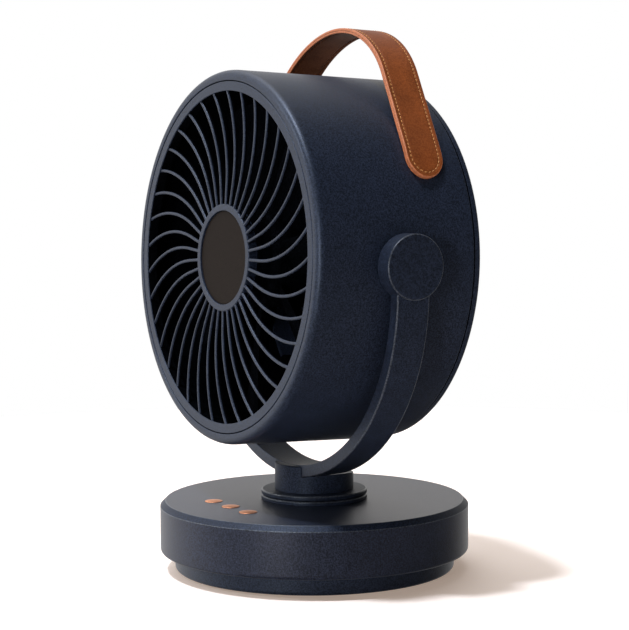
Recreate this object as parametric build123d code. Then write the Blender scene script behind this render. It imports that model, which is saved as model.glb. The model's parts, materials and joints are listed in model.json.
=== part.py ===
from build123d import *
import os
from math import acos, cos, pi, radians, sin, sqrt, tan

# A mini desk fan: a drum-shaped head with a spiral grille and a leather carrying strap, held by a yoke
# in which it tilts, on a neck that swings above a round base with three push buttons.
# Lengths are in millimetres. +Z is up, the air leaves towards -Y, and the origin is the middle of the
# surface that the fan stands on.

# Clearances
fixed_fit = 0.02
running_fit = 0.05
slip_fit = 0.15

# Base: a round casing on a narrower foot
base_radius = 75.2
base_height = 24.8
base_wall = 2.6
base_top_wall = 3.0
base_chamfer = 2.6
base_lower_round = 1.6
foot_inset = 7.0
foot_height = 8.6
foot_floor = 3.0
foot_screw_wall = 0.85
plate_flange = 2.4
pad_radius = 6.5
pad_inset = 16.4
pad_proud = 1.0
pad_sunk = 0.6
pad_count = 4
base_screw_count = 4
base_post_radius = 4.2

# Screws
screw_radius = 1.5
screw_head_radius = 2.7
screw_head_height = 1.8
screw_bite = 6.0

# Control board and buttons
button_radius = 4.3
button_pitch = 17.0
button_count = 3
button_row_inset = 28.6
button_proud = 0.6
button_dome = 0.35
button_travel = 0.6
button_rim = 0.9
button_rim_height = 1.0
button_rest_gap = 0.2
board_end = 3.5
board_depth = 18.0
board_thick = 1.6
board_drop = 5.4
board_post_offset = 9.5
board_post_radius = 3.0
switch_side = 6.0
switch_body = 2.4
plunger_radius = 1.7

# Battery and charging inlet
battery_length = 60.0
battery_width = 32.0
battery_height = 10.0
battery_corner_gap = 4.08
battery_round = 2.0
battery_rib = 1.6
battery_rib_height = 5.0
inlet_width = 9.0
inlet_height = 3.3
inlet_depth = 7.6
inlet_wall = 0.4
inlet_rise = 10.4
inlet_tongue = 0.7
charge_board_width = 18.0
charge_board_depth = 10.0
charge_board_thick = 1.2
charge_post_radius = 2.0

# Swing drive
gear_module = 1.0
gear_teeth = 36
pinion_teeth = 14
gear_thick = 5.0
gear_gap = 0.4
gear_backlash = 0.18
gear_addendum = 0.9
gear_dedendum = 1.2
pressure_angle = 20.0
pinion_direction = 225.0
swing_motor_radius = 14.0
swing_motor_height = 12.0
swing_motor_gap = 1.5
swing_shaft_radius = 2.0
swing_shaft_depth = 6.0
motor_ear_radius = 3.4
motor_ear_offset = 3.5
motor_ear_thick = 1.2

# Neck
neck_radius = 19.2
neck_height = 17.9
neck_round = 0.8
collar_radius = 25.8
collar_thick = 2.2
collar_round = 0.7
washer_thick = 0.4
washer_inset = 3.0
spindle_radius = 8.0
spindle_bore = 5.0
spindle_roof = 1.5
spindle_tail = 1.5
clip_thick = 1.0
clip_depth = 0.8
clip_width = 3.0
clip_opening = 9.0
bush_wall = 3.0
bush_drop = 3.0
bush_boss_wall = 3.0
yoke_screw_inset = 5.7
yoke_screw_bite = 4.0

# Yoke: straight arms above a half ring
yoke_gap = 1.7
yoke_thick = 5.8
yoke_width = 17.0
yoke_drop = 9.5
yoke_offset = 6.0
bolt_radius = 4.0
bolt_head_radius = 6.0
bolt_head_height = 2.2
bolt_sunk = 2.6
cap_radius = 14.7
cap_wall = 2.35
cap_proud = 2.0
cap_clear = 0.8
cap_round = 0.6

# Head: the drum
rest_tilt_up = 2.3
head_radius = 88.0
head_front = 44.4
head_rear = 42.7
shell_wall = 2.6
lip_round = 3.2
front_lip = 5.0
ledge_width = 2.6
ledge_thick = 2.0
pivot_boss_radius = 10.0
pivot_boss_depth = 9.0
pivot_flat = 0.3

# Front grille
seam_gap = 0.35
grille_ring = 4.5
grille_sink = 0.1
grille_depth = 5.0
rib_count = 37
rib_width = 1.5
rib_sink = 0.5
rib_depth = 1.8
rib_straight = 9.2
rib_sweep = 13.5
rib_phase = -0.25
hub_radius = 25.3
hub_rim = 3.2
hub_sink = 0.4
badge_thick = 1.8
badge_sink = 0.8

# Rear cover
rear_band = 4.0
rear_step = 0.7
rear_round = 1.6
rear_plate = 2.4
parting_gap = 0.4
spigot_depth = 5.0
spigot_wall = 2.0
slot_width = 3.4
slot_count = 36
slot_hub_margin = 13.0
slot_bridge = 4.0
slot_rim_margin = 12.4
rear_screw_count = 4
rear_screw_angle = 45.0
rear_post_radius = 4.0
rear_post_length = 14.0
rear_screw_sink = 2.0
rear_boss_wall = 1.4

# Fan motor
motor_radius = 17.0
motor_wall = 1.4
motor_length = 30.0
motor_seat_wall = 2.4
motor_seat_height = 10.0
motor_cap_thick = 3.0
motor_screw_circle = 11.5
motor_screw_count = 3
shaft_radius = 2.0
bearing_radius = 5.5
bearing_width = 4.0
stator_length = 14.0
stator_yoke = 2.2
stator_teeth = 6
stator_tooth = 3.0
coil_thick = 1.2
magnet_radius = 8.4
air_gap = 0.5

# Impeller
blade_tip_gap = 9.4
impeller_hub_radius = 23.5
impeller_hub_wall = 2.0
impeller_hub_length = 27.0
impeller_front_gap = 12.0
impeller_boss_radius = 5.5
blade_count = 7
blade_thick = 2.2
blade_camber = 4.0
blade_root_chord = 27.0
blade_tip_chord = 42.0
blade_root_pitch = 48.0
blade_tip_pitch = 27.0
nut_flats = 7.0
nut_height = 3.2

# Carrying strap: a leather band over a lining, sewn together
strap_width = 19.3
strap_leather = 1.3
strap_lining = 1.1
strap_seat_gap = 0.25
strap_rise = 23.6
strap_leave_angle = 52.5
strap_tip_angle = 63.92
strap_tip_back = 16.0
strap_lean = 10.4
strap_screw_angle = 58.0
strap_screw_spread = 9.0

# Places in the base
foot_radius = base_radius - foot_inset
foot_wall = 2 * (screw_head_radius + slip_fit + foot_screw_wall)
foot_well = foot_radius - foot_wall
base_post_circle = foot_radius - foot_wall / 2
pad_circle = foot_radius - pad_inset
button_row_y = button_row_inset - base_radius
board_post_x = button_pitch * (button_count - 1) / 2 + board_post_offset
board_length = 2 * (board_post_x + board_end)
battery_rear_y = sqrt((foot_well - battery_corner_gap) ** 2 - (battery_length / 2) ** 2)
battery_front_y = battery_rear_y - battery_width
motor_ear_reach = swing_motor_radius + motor_ear_offset

# Levels of the base and neck above the table
foot_top = pad_proud + foot_height
floor_top = pad_proud + foot_floor
base_top = foot_top + base_height
base_ceiling = base_top - base_top_wall
flange_top = foot_top + plate_flange
lower_collar_top = base_top + collar_thick
upper_collar_bottom = lower_collar_top + washer_thick
upper_collar_top = upper_collar_bottom + collar_thick
neck_top = base_top + neck_height
bush_radius = spindle_radius + running_fit + bush_wall
bush_bottom = base_ceiling - bush_drop
gear_top = bush_bottom - gear_gap
gear_bottom = gear_top - gear_thick
spindle_top = neck_top - yoke_thick - spindle_roof
spindle_bottom = gear_bottom - clip_thick - spindle_tail
board_top = base_ceiling - board_drop
board_bottom = board_top - board_thick
button_bottom = base_ceiling - button_rest_gap - button_rim_height
plunger_top = button_bottom - button_travel - running_fit
swing_motor_top = gear_bottom - swing_motor_gap
swing_motor_bottom = swing_motor_top - swing_motor_height
inlet_z = foot_top + inlet_rise
charge_board_top = inlet_z - inlet_height / 2
charge_board_bottom = charge_board_top - charge_board_thick
charge_board_rear = sqrt((base_radius - base_wall - slip_fit) ** 2 - (charge_board_width / 2) ** 2)
gear_pitch_radius = gear_module * gear_teeth / 2
pinion_pitch_radius = gear_module * pinion_teeth / 2
gear_centres = gear_pitch_radius + pinion_pitch_radius + running_fit
pinion_x = gear_centres * cos(radians(pinion_direction))
pinion_y = gear_centres * sin(radians(pinion_direction))

# Levels and places of the yoke
arm_inner = head_radius + yoke_gap
arm_outer = arm_inner + yoke_thick
yoke_centre_z = neck_top + arm_inner
pivot_z = yoke_centre_z + yoke_drop
pivot_y = -yoke_offset
yoke_screw_x = neck_radius - yoke_screw_inset
arm_pad_radius = cap_radius - cap_wall - slip_fit
cap_inner = head_radius + cap_clear
cap_face = arm_outer + cap_proud
bolt_seat = arm_outer - bolt_sunk
bolt_end = head_radius - pivot_boss_depth

# Head stations, measured forwards from the tilt axis along the drum
seam_radius = head_radius - front_lip
shell_bore = head_radius - shell_wall
grille_front = head_front - grille_sink
grille_back = grille_front - grille_depth
grille_radius = seam_radius - seam_gap
grille_opening = grille_radius - grille_ring
ledge_back = grille_back - ledge_thick
rib_back = grille_front - rib_sink - rib_depth
hub_front = grille_front - hub_sink
badge_front = hub_front - badge_sink
badge_back = badge_front - badge_thick
cover_face = -head_rear
cover_inside = cover_face + rear_plate
seat_level = cover_inside + rear_screw_sink
shell_rear = cover_face + rear_band + parting_gap
cover_spigot_end = shell_rear + spigot_depth
rear_post_circle = shell_bore - spigot_wall - 2 * slip_fit - rear_post_radius
slot_start = motor_radius + slot_hub_margin
slot_end = shell_bore - slot_rim_margin
slot_length = (slot_end - slot_start - slot_bridge) / 2
rib_bend_radius = hub_radius + rib_straight
motor_front = seat_level + motor_length
motor_cap_front = motor_front + motor_cap_thick
impeller_radius = shell_bore - blade_tip_gap
impeller_front = grille_back - impeller_front_gap
impeller_rear = impeller_front - impeller_hub_length
shaft_front = impeller_front + nut_height
shaft_rear = seat_level + motor_wall + running_fit
stator_radius = motor_radius - motor_wall - fixed_fit
stator_bore = magnet_radius + air_gap
stator_middle = (seat_level + motor_front) / 2
strap_inner_radius = head_radius + strap_seat_gap
strap_tip_height = strap_inner_radius * cos(radians(strap_tip_angle))


def disc(radius, low, high, x=0.0, y=0.0):
    """Upright cylinder between two heights."""
    return Pos(x, y, (low + high) / 2) * Cylinder(radius, high - low)


def ring(outer, inner, low, high, x=0.0, y=0.0):
    """Upright tube between two heights."""
    return disc(outer, low, high, x, y) - disc(inner, low, high, x, y)


def block(x_span, y_span, z_span):
    """Box between three pairs of limits."""
    size = [span[1] - span[0] for span in (x_span, y_span, z_span)]
    middle = [(span[1] + span[0]) / 2 for span in (x_span, y_span, z_span)]
    return Pos(*middle) * Box(*size)


def rod(radius, start, end, y=0.0, z=0.0):
    """Cylinder along X between two places."""
    return Pos((start + end) / 2, y, z) * Rot(0, 90, 0) * Cylinder(radius, end - start)


def screw(seat, bite, x=0.0, y=0.0):
    """Pan-head screw driven down: the head stands on the seat and the shank goes below it."""
    head = disc(screw_head_radius, seat, seat + screw_head_height, x, y)
    top = head.edges().filter_by(GeomType.CIRCLE).group_by(Axis.Z)[-1]
    head = fillet(top, screw_head_height / 3)
    return head + disc(screw_radius, seat - bite, seat, x, y)


def screw_up(seat, bite, x=0.0, y=0.0):
    """Pan-head screw driven up from below its seat."""
    return Pos(x, y, seat) * Rot(180, 0, 0) * screw(0, bite)


def spots(count, radius, first=0.0):
    """Evenly spaced places on a circle."""
    angles = [radians(first + 360 * n / count) for n in range(count)]
    return [(radius * cos(angle), radius * sin(angle)) for angle in angles]


def turned(*points):
    """Solid of revolution about Z from a closed outline of (radius, height) points."""
    outline = Plane.XZ * make_face(Polyline(*points, close=True))
    return revolve(outline, Axis.Z)


def rounded(solid, radius, height, amount, cut=fillet):
    """Rounds or chamfers the circular edge of a given radius and height."""
    found = [
        edge for edge in solid.edges().filter_by(GeomType.CIRCLE)
        if abs(edge.radius - radius) < 0.01 and abs(edge.center(CenterOf.BOUNDING_BOX).Z - height) < 0.01
    ]
    return cut(found, amount)


def stood_up(piece):
    """Takes a head piece from lying face up on its back to its place in the yoke."""
    return Location((0, pivot_y, pivot_z), (90 - rest_tilt_up, 0, 0)) * piece


# Base

base_screw_spots = spots(base_screw_count, base_post_circle, 45)
pad_spots = spots(pad_count, pad_circle)
button_xs = [button_pitch * (n - (button_count - 1) / 2) for n in range(button_count)]
board_post_spots = [(-board_post_x, button_row_y), (board_post_x, button_row_y)]
ear_along = radians(pinion_direction + 90)
ear_spots = [
    (pinion_x + side * motor_ear_reach * cos(ear_along), pinion_y + side * motor_ear_reach * sin(ear_along))
    for side in (-1, 1)
]
charge_post_x = charge_board_width / 2 - charge_post_radius
charge_post_y = charge_board_rear - charge_board_depth + charge_post_radius
ear_levels = (swing_motor_bottom, swing_motor_bottom + motor_ear_thick)


def base_shell():
    outside = disc(base_radius, foot_top, base_top)
    outside = rounded(outside, base_radius, base_top, base_chamfer, chamfer)
    outside = rounded(outside, base_radius, foot_top, base_lower_round)
    shell = outside - disc(base_radius - base_wall, foot_top, base_ceiling)
    for x, y in base_screw_spots:
        shell += disc(base_post_radius, flange_top, base_ceiling + base_top_wall / 2, x, y)
    shell += disc(bush_radius + bush_boss_wall, bush_bottom, base_ceiling + base_top_wall / 2)
    for x, y in board_post_spots:
        shell += disc(board_post_radius, board_top, base_ceiling + base_top_wall / 2, x, y)
    for x, y in base_screw_spots:
        shell -= disc(screw_radius + fixed_fit, flange_top, flange_top + screw_bite + fixed_fit, x, y)
    for x, y in board_post_spots:
        shell -= disc(screw_radius + fixed_fit, board_top, board_top + board_drop - fixed_fit, x, y)
    shell -= disc(bush_radius + fixed_fit, bush_bottom, base_top)
    for x in button_xs:
        shell -= disc(button_radius + slip_fit, base_ceiling, base_top, x, button_row_y)
    return shell - inlet_hole()


def inlet_hole():
    """Rounded slot through the rear wall for the charging inlet."""
    width = inlet_width + 2 * slip_fit
    height = inlet_height + 2 * slip_fit
    outline = Plane.XZ * RectangleRounded(width, height, height * 0.45)
    return Pos(0, base_radius + base_wall, inlet_z) * extrude(outline, 3 * base_wall)


def base_plate():
    plate = disc(foot_radius, pad_proud, foot_top)
    plate = rounded(plate, foot_radius, pad_proud, base_lower_round)
    plate += disc(base_radius - base_wall - slip_fit, foot_top, flange_top)
    plate -= disc(foot_well, floor_top, flange_top)
    for x, y in pad_spots:
        plate -= disc(pad_radius + fixed_fit, pad_proud, pad_proud + pad_sunk, x, y)
    for x, y in base_screw_spots:
        plate -= disc(screw_head_radius + slip_fit, pad_proud, flange_top - plate_flange, x, y)
        plate -= disc(screw_radius + slip_fit, pad_proud, flange_top, x, y)
    plate += disc(swing_motor_radius, floor_top - foot_floor / 2, swing_motor_bottom, pinion_x, pinion_y)
    for x, y in ear_spots:
        plate += disc(motor_ear_radius, floor_top - foot_floor / 2, swing_motor_bottom, x, y)
        plate -= disc(screw_radius + fixed_fit, floor_top, swing_motor_bottom, x, y)
    for side in (-1, 1):
        plate += disc(charge_post_radius, flange_top - plate_flange / 2, charge_board_bottom,
                      side * charge_post_x, charge_post_y)
    return plate + battery_ribs()


def battery_ribs():
    """Low walls on the floor that keep the battery in its place."""
    x_middle = (battery_length + battery_rib) / 2 + slip_fit
    y_middle = (battery_width + battery_rib) / 2 + slip_fit
    centre_y = (battery_front_y + battery_rear_y) / 2
    rise = foot_floor / 2 + battery_rib_height
    level = floor_top + battery_rib_height - rise / 2
    ribs = Part()
    for side in (-1, 1):
        ribs += Pos(side * x_middle, centre_y, level) * Box(battery_rib, battery_width / 2, rise)
        ribs += Pos(0, centre_y + side * y_middle, level) * Box(battery_length / 2, battery_rib, rise)
    return ribs


def foot_pads():
    return [disc(pad_radius, 0, pad_proud + pad_sunk, x, y) for x, y in pad_spots]


def base_screws():
    seat = flange_top - plate_flange
    return [screw_up(seat, plate_flange + screw_bite, x, y) for x, y in base_screw_spots]


def base_collar():
    lower = ring(collar_radius, bush_radius + fixed_fit, base_top, lower_collar_top)
    return rounded(lower, collar_radius, lower_collar_top, collar_round)


def swivel_bush():
    return ring(bush_radius, spindle_radius + running_fit, bush_bottom, lower_collar_top)


def control_board():
    middle = Pos(0, button_row_y, (board_bottom + board_top) / 2)
    board = middle * Box(board_length, board_depth, board_thick)
    for x, y in board_post_spots:
        board -= disc(screw_radius + slip_fit, board_bottom, board_top, x, y)
    return board


def board_screws():
    bite = board_thick + board_drop - 2 * screw_radius
    return [screw_up(board_bottom, bite, x, y) for x, y in board_post_spots]


def button_switches():
    half = switch_side / 2
    switches = []
    for x in button_xs:
        body = block((x - half, x + half), (button_row_y - half, button_row_y + half),
                     (board_top, board_top + switch_body))
        switches.append(body + disc(plunger_radius, board_top + switch_body, plunger_top, x, button_row_y))
    return switches


def push_button(x):
    """Domed cap that slides in the casing, kept in by a rim under the top wall."""
    cap_top = base_top + button_proud
    sphere_radius = (button_radius ** 2 + button_dome ** 2) / (2 * button_dome)
    stem = disc(button_radius, button_bottom, cap_top, x, button_row_y)
    dome = Pos(x, button_row_y, cap_top - sphere_radius) * Sphere(sphere_radius)
    below = disc(button_radius, button_bottom, cap_top - button_dome, x, button_row_y)
    rim_top = button_bottom + button_rim_height
    rim = disc(button_radius + button_rim, button_bottom, rim_top, x, button_row_y)
    return (stem & dome) + below + rim


def battery_pack():
    half = battery_length / 2
    pack = block((-half, half), (battery_front_y, battery_rear_y),
                 (floor_top, floor_top + battery_height))
    return fillet(pack.edges().filter_by(Axis.X), battery_round)


def usb_inlet():
    """Metal shell of the charging inlet, open to the rear, with the contact tongue inside."""
    face = Plane.XZ * RectangleRounded(inlet_width, inlet_height, inlet_height * 0.45)
    inside = Plane.XZ * RectangleRounded(
        inlet_width - 2 * inlet_wall, inlet_height - 2 * inlet_wall, inlet_height * 0.45 - inlet_wall)
    body = extrude(face, inlet_depth) - Pos(0, inlet_wall, 0) * extrude(inside, inlet_depth)
    tongue_half = inlet_width / 2 - 3 * inlet_wall
    tongue = block((-tongue_half, tongue_half), (-inlet_depth, -inlet_depth / 4),
                   (-inlet_tongue / 2, inlet_tongue / 2))
    return Pos(0, base_radius - inlet_wall, inlet_z) * (body + tongue)


def charge_board():
    half = charge_board_width / 2
    return block((-half, half), (charge_board_rear - charge_board_depth, charge_board_rear),
                 (charge_board_bottom, charge_board_top))


def swing_motor():
    body = disc(swing_motor_radius, swing_motor_bottom, swing_motor_top, pinion_x, pinion_y)
    for x, y in ear_spots:
        body += disc(motor_ear_radius, *ear_levels, x, y)
        middle = Vector((x + pinion_x) / 2, (y + pinion_y) / 2, sum(ear_levels) / 2)
        bridge = Box(motor_ear_reach, 2 * motor_ear_radius, motor_ear_thick)
        body += Pos(*middle) * Rot(0, 0, pinion_direction + 90) * bridge
    for x, y in ear_spots:
        body -= disc(screw_radius + slip_fit, *ear_levels, x, y)
    bore_end = swing_motor_top - swing_shaft_depth
    return body - disc(swing_shaft_radius + running_fit, bore_end, swing_motor_top, pinion_x, pinion_y)


def swing_motor_screws():
    bite = motor_ear_thick + swing_motor_bottom - floor_top - fixed_fit
    return [screw(ear_levels[1], bite, x, y) for x, y in ear_spots]


# Swing gears

def involute(angle):
    return tan(angle) - angle


def spur_gear(teeth, bore):
    """Involute gear with a tooth centred on +X, standing on z = 0."""
    pressure = radians(pressure_angle)
    pitch_radius = gear_module * teeth / 2
    base_circle = pitch_radius * cos(pressure)
    tip = pitch_radius + gear_addendum * gear_module
    root = pitch_radius - gear_dedendum * gear_module
    half_tooth = pi / (2 * teeth) - gear_backlash / (2 * pitch_radius)
    start = max(base_circle, root + fixed_fit)
    radii = [start, (start + tip) / 2, tip]
    leans = [half_tooth + involute(pressure) - involute(acos(base_circle / r)) for r in radii]
    flank = list(zip([root] + radii, leans[:1] + leans))
    points = []
    for tooth in range(teeth):
        middle = 2 * pi * tooth / teeth
        points += [(r * cos(middle - lean), r * sin(middle - lean)) for r, lean in flank]
        points += [(r * cos(middle + lean), r * sin(middle + lean)) for r, lean in reversed(flank)]
    return extrude(make_face(Polyline(*points, close=True)) - Circle(bore), gear_thick)


def swing_gear():
    wheel = spur_gear(gear_teeth, spindle_radius + fixed_fit)
    return Pos(0, 0, gear_bottom) * Rot(0, 0, pinion_direction) * wheel


def swing_pinion():
    turn = pinion_direction + 180 + 180 / pinion_teeth
    wheel = spur_gear(pinion_teeth, swing_shaft_radius + fixed_fit)
    return Pos(pinion_x, pinion_y, gear_bottom) * Rot(0, 0, turn) * wheel


def swing_shaft():
    low = swing_motor_top - swing_shaft_depth + running_fit
    return disc(swing_shaft_radius, low, gear_top, pinion_x, pinion_y)


# Neck and yoke

yoke_screw_spots = [(-yoke_screw_x, pivot_y), (yoke_screw_x, pivot_y)]
yoke_seat_z = yoke_centre_z - sqrt(arm_outer ** 2 - yoke_screw_x ** 2)


def swivel_washer():
    outer = collar_radius - washer_inset
    return ring(outer, spindle_radius + slip_fit, lower_collar_top, upper_collar_bottom)


def neck_collar():
    upper = ring(collar_radius, spindle_radius + fixed_fit, upper_collar_bottom, upper_collar_top)
    return rounded(upper, collar_radius, upper_collar_top, collar_round)


def across_yoke(outline, width):
    """Extrudes an outline of the X-Z plane, centred on the yoke's width."""
    return Pos(0, pivot_y + width / 2, 0) * extrude(Plane.XZ * outline, width)


def neck_column():
    column = disc(neck_radius, upper_collar_top, neck_top)
    column = rounded(column, neck_radius, neck_top, neck_round)
    seat = Pos(0, yoke_centre_z) * Circle(arm_outer + fixed_fit)
    column -= across_yoke(seat, yoke_width + 2 * slip_fit)
    column -= Pos(0, yoke_width, 0) * across_yoke(seat, yoke_width + 2 * slip_fit)
    column -= disc(spindle_radius + fixed_fit, upper_collar_top, spindle_top)
    head_top = upper_collar_top + screw_head_height
    for x, y in yoke_screw_spots:
        column -= disc(screw_head_radius + slip_fit, upper_collar_top, head_top, x, y)
        column -= disc(screw_radius + slip_fit, upper_collar_top, neck_top, x, y)
    return column


def yoke_screws():
    seat = upper_collar_top + screw_head_height
    return [screw_up(seat, yoke_seat_z - seat + yoke_screw_bite, x, y) for x, y in yoke_screw_spots]


def swivel_spindle():
    spindle = ring(spindle_radius, spindle_bore, spindle_bottom, spindle_top)
    groove = ring(spindle_radius, spindle_radius - clip_depth, gear_bottom - clip_thick, gear_bottom)
    return spindle - groove


def spindle_clip():
    """Open spring ring in the spindle's groove, under the gear."""
    inner = spindle_radius - clip_depth + fixed_fit
    clip = ring(spindle_radius + clip_width, inner, gear_bottom - clip_thick, gear_bottom)
    half = clip_opening / 2
    return clip - block((0, 2 * spindle_radius), (-half, half), (gear_bottom - clip_thick, gear_bottom))


def yoke():
    half_ring = Circle(arm_outer) - Circle(arm_inner)
    half_ring -= Pos(0, arm_outer) * Rectangle(3 * arm_outer, 2 * arm_outer)
    band = Pos(0, yoke_centre_z) * half_ring
    for side in (-1, 1):
        middle = Pos(side * (arm_inner + arm_outer) / 2, yoke_centre_z + yoke_drop / 2)
        band += middle * Rectangle(yoke_thick, yoke_drop)
    body = across_yoke(band, yoke_width)
    for side in (-1, 1):
        low, high = sorted((side * arm_inner, side * arm_outer))
        body += rod(arm_pad_radius, low, high, pivot_y, pivot_z)
    for side in (-1, 1):
        low, high = sorted((side * arm_inner, side * arm_outer))
        body -= rod(bolt_radius + running_fit, low, high, pivot_y, pivot_z)
        low, high = sorted((side * bolt_seat, side * arm_outer))
        body -= rod(bolt_head_radius + slip_fit, low, high, pivot_y, pivot_z)
    screw_end = yoke_seat_z + yoke_screw_bite + fixed_fit
    for x, y in yoke_screw_spots:
        body -= disc(screw_radius + fixed_fit, yoke_seat_z - yoke_thick / 2, screw_end, x, y)
    return body


def pivot_washers():
    inner = head_radius + pivot_flat
    washers = []
    for side in (-1, 1):
        low, high = sorted((side * inner, side * arm_inner))
        outer = rod(pivot_boss_radius, low, high, pivot_y, pivot_z)
        washers.append(outer - rod(bolt_radius + running_fit, low, high, pivot_y, pivot_z))
    return washers


def pivot_cap(side):
    """Round cover over the end of an arm, with a notch in its skirt where the arm comes in."""
    cover = disc(cap_radius, cap_inner, cap_face)
    cover = rounded(cover, cap_radius, cap_face, cap_round)
    cover -= disc(arm_pad_radius + slip_fit, cap_inner, arm_outer + fixed_fit)
    half = yoke_width / 2 + slip_fit
    cover -= block((-half, half), (-2 * cap_radius, 0), (cap_inner, arm_outer + fixed_fit))
    return Location((0, pivot_y, pivot_z)) * Rot(0, 0, 90 * side) * Rot(90, 0, 0) * cover


# Head pieces are drawn lying face up: X across, Y up the drum's face, Z forwards from the tilt axis.

rear_screw_spots = spots(rear_screw_count, rear_post_circle, rear_screw_angle)
motor_screw_spots = spots(motor_screw_count, motor_screw_circle, 90)


def head_shell():
    back_slope = ledge_back - (shell_bore - seam_radius + ledge_width)
    shell = turned(
        (head_radius, shell_rear), (head_radius, head_front), (seam_radius, head_front),
        (seam_radius, grille_back), (seam_radius - ledge_width, grille_back),
        (seam_radius - ledge_width, ledge_back), (shell_bore, back_slope), (shell_bore, shell_rear))
    shell = rounded(shell, head_radius, head_front, lip_round)
    web_reach = shell_bore + shell_wall / 2 - rear_post_circle
    web_height = rear_post_length - 2 * spigot_depth
    web_level = seat_level + rear_post_length - web_height / 2
    web = Pos(web_reach / 2, 0, 0) * Box(web_reach, rear_post_radius, web_height)
    for n, (x, y) in enumerate(rear_screw_spots):
        shell += disc(rear_post_radius, seat_level, seat_level + rear_post_length, x, y)
        turn = rear_screw_angle + 360 * n / rear_screw_count
        shell += Pos(x, y, web_level) * Rot(0, 0, turn) * web
    for x, y in rear_screw_spots:
        shell -= disc(screw_radius + fixed_fit, seat_level, seat_level + screw_bite, x, y)
    for side in (-1, 1):
        low, high = sorted((side * bolt_end, side * (head_radius + pivot_flat)))
        shell += rod(pivot_boss_radius, low, high)
        shell -= rod(bolt_radius + fixed_fit, low, high)
    for hole in strap_screw_places():
        shell -= hole * disc(screw_radius + slip_fit, -2 * shell_wall, 2 * shell_wall)
    return stood_up(shell)


def rib_outline():
    """One rib from the hub to the rim: straight at first, then an arc that sweeps ahead."""
    reach = grille_opening + grille_ring / 2
    bend = (rib_bend_radius, 0)
    end = (reach * cos(radians(rib_sweep)), reach * sin(radians(rib_sweep)))
    straight = Line((hub_radius - hub_rim / 2, 0), bend)
    curl = TangentArc(bend, end, tangent=(1, 0))
    return trace([straight, curl], rib_width)


def front_grille():
    rib = rib_outline()
    face = Circle(grille_radius) - Circle(grille_opening)
    face += Circle(hub_radius)
    for n in range(rib_count):
        face += Rot(0, 0, rib_phase + 360 * n / rib_count) * rib
    grille = Pos(0, 0, rib_back) * extrude(face, rib_depth)
    grille += ring(grille_radius, grille_opening, grille_back, grille_front)
    grille += disc(hub_radius, grille_back, hub_front)
    pocket = disc(hub_radius - hub_rim, badge_back, hub_front)
    return stood_up(grille - pocket)


def hub_badge():
    return stood_up(disc(hub_radius - hub_rim - slip_fit, badge_back, badge_front))


def rear_cover():
    rim_radius = head_radius - rear_step
    spigot = shell_bore - slip_fit
    body = turned(
        (0, cover_face), (rim_radius, cover_face), (rim_radius, cover_face + rear_band),
        (spigot, cover_face + rear_band), (spigot, cover_spigot_end),
        (spigot - spigot_wall, cover_spigot_end), (spigot - spigot_wall, cover_inside), (0, cover_inside))
    body = rounded(body, rim_radius, cover_face, rear_round)
    slots = Sketch()
    for middle in (slot_start + slot_length / 2, slot_end - slot_length / 2):
        slot = Pos(middle, 0) * SlotOverall(slot_length, slot_width)
        slots += [Rot(0, 0, 360 * n / slot_count) * slot for n in range(slot_count)]
    body -= Pos(0, 0, cover_face) * extrude(slots, rear_plate)
    seat_radius = motor_radius + slip_fit + motor_seat_wall
    body += disc(seat_radius, cover_inside - rear_plate / 2, seat_level)
    body += ring(seat_radius, motor_radius + slip_fit, cover_inside, seat_level + motor_seat_height)
    head_pocket = screw_head_radius + slip_fit
    for x, y in rear_screw_spots:
        body += disc(head_pocket + rear_boss_wall, cover_inside - rear_plate / 2, seat_level, x, y)
    for x, y in rear_screw_spots + motor_screw_spots:
        body -= disc(screw_radius + slip_fit, cover_face, seat_level, x, y)
        body -= disc(head_pocket, cover_face, cover_face + rear_screw_sink, x, y)
    return stood_up(body)


def rear_screws():
    seat = cover_face + rear_screw_sink
    bite = rear_plate + screw_bite - fixed_fit
    return [stood_up(screw_up(seat, bite, x, y)) for x, y in rear_screw_spots]


def motor_screws():
    seat = cover_face + rear_screw_sink
    return [stood_up(screw_up(seat, rear_plate + motor_wall, x, y)) for x, y in motor_screw_spots]


def motor_can():
    inside = seat_level + motor_wall
    can = ring(motor_radius, motor_radius - motor_wall, seat_level, motor_front)
    can += disc(motor_radius - motor_wall / 2, seat_level, inside)
    can += ring(bearing_radius + fixed_fit + motor_wall, bearing_radius + fixed_fit,
                inside - motor_wall / 2, inside + bearing_width)
    for x, y in motor_screw_spots:
        can -= disc(screw_radius + fixed_fit, seat_level, inside, x, y)
    return stood_up(can)


def motor_end_cap():
    cap = disc(motor_radius, motor_front, motor_cap_front)
    cap += disc(bearing_radius + fixed_fit + motor_wall, motor_front - bearing_width, motor_front)
    cap -= disc(bearing_radius + fixed_fit, motor_front - bearing_width, motor_front)
    return stood_up(cap - disc(shaft_radius + slip_fit, motor_front, motor_cap_front))


def motor_bearings():
    starts = (seat_level + motor_wall, motor_front - bearing_width)
    bore = shaft_radius + running_fit
    return [stood_up(ring(bearing_radius, bore, low, low + bearing_width)) for low in starts]


def stator_core():
    half = stator_length / 2
    core = ring(stator_radius, stator_radius - stator_yoke, stator_middle - half, stator_middle + half)
    reach = stator_radius - stator_yoke / 2 - stator_bore
    tooth = Pos(stator_bore + reach / 2, 0, stator_middle) * Box(reach, stator_tooth, stator_length)
    teeth = [Rot(0, 0, 360 * n / stator_teeth) * tooth for n in range(stator_teeth)]
    core += teeth
    return stood_up(core - disc(stator_bore, stator_middle - half, stator_middle + half))


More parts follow.
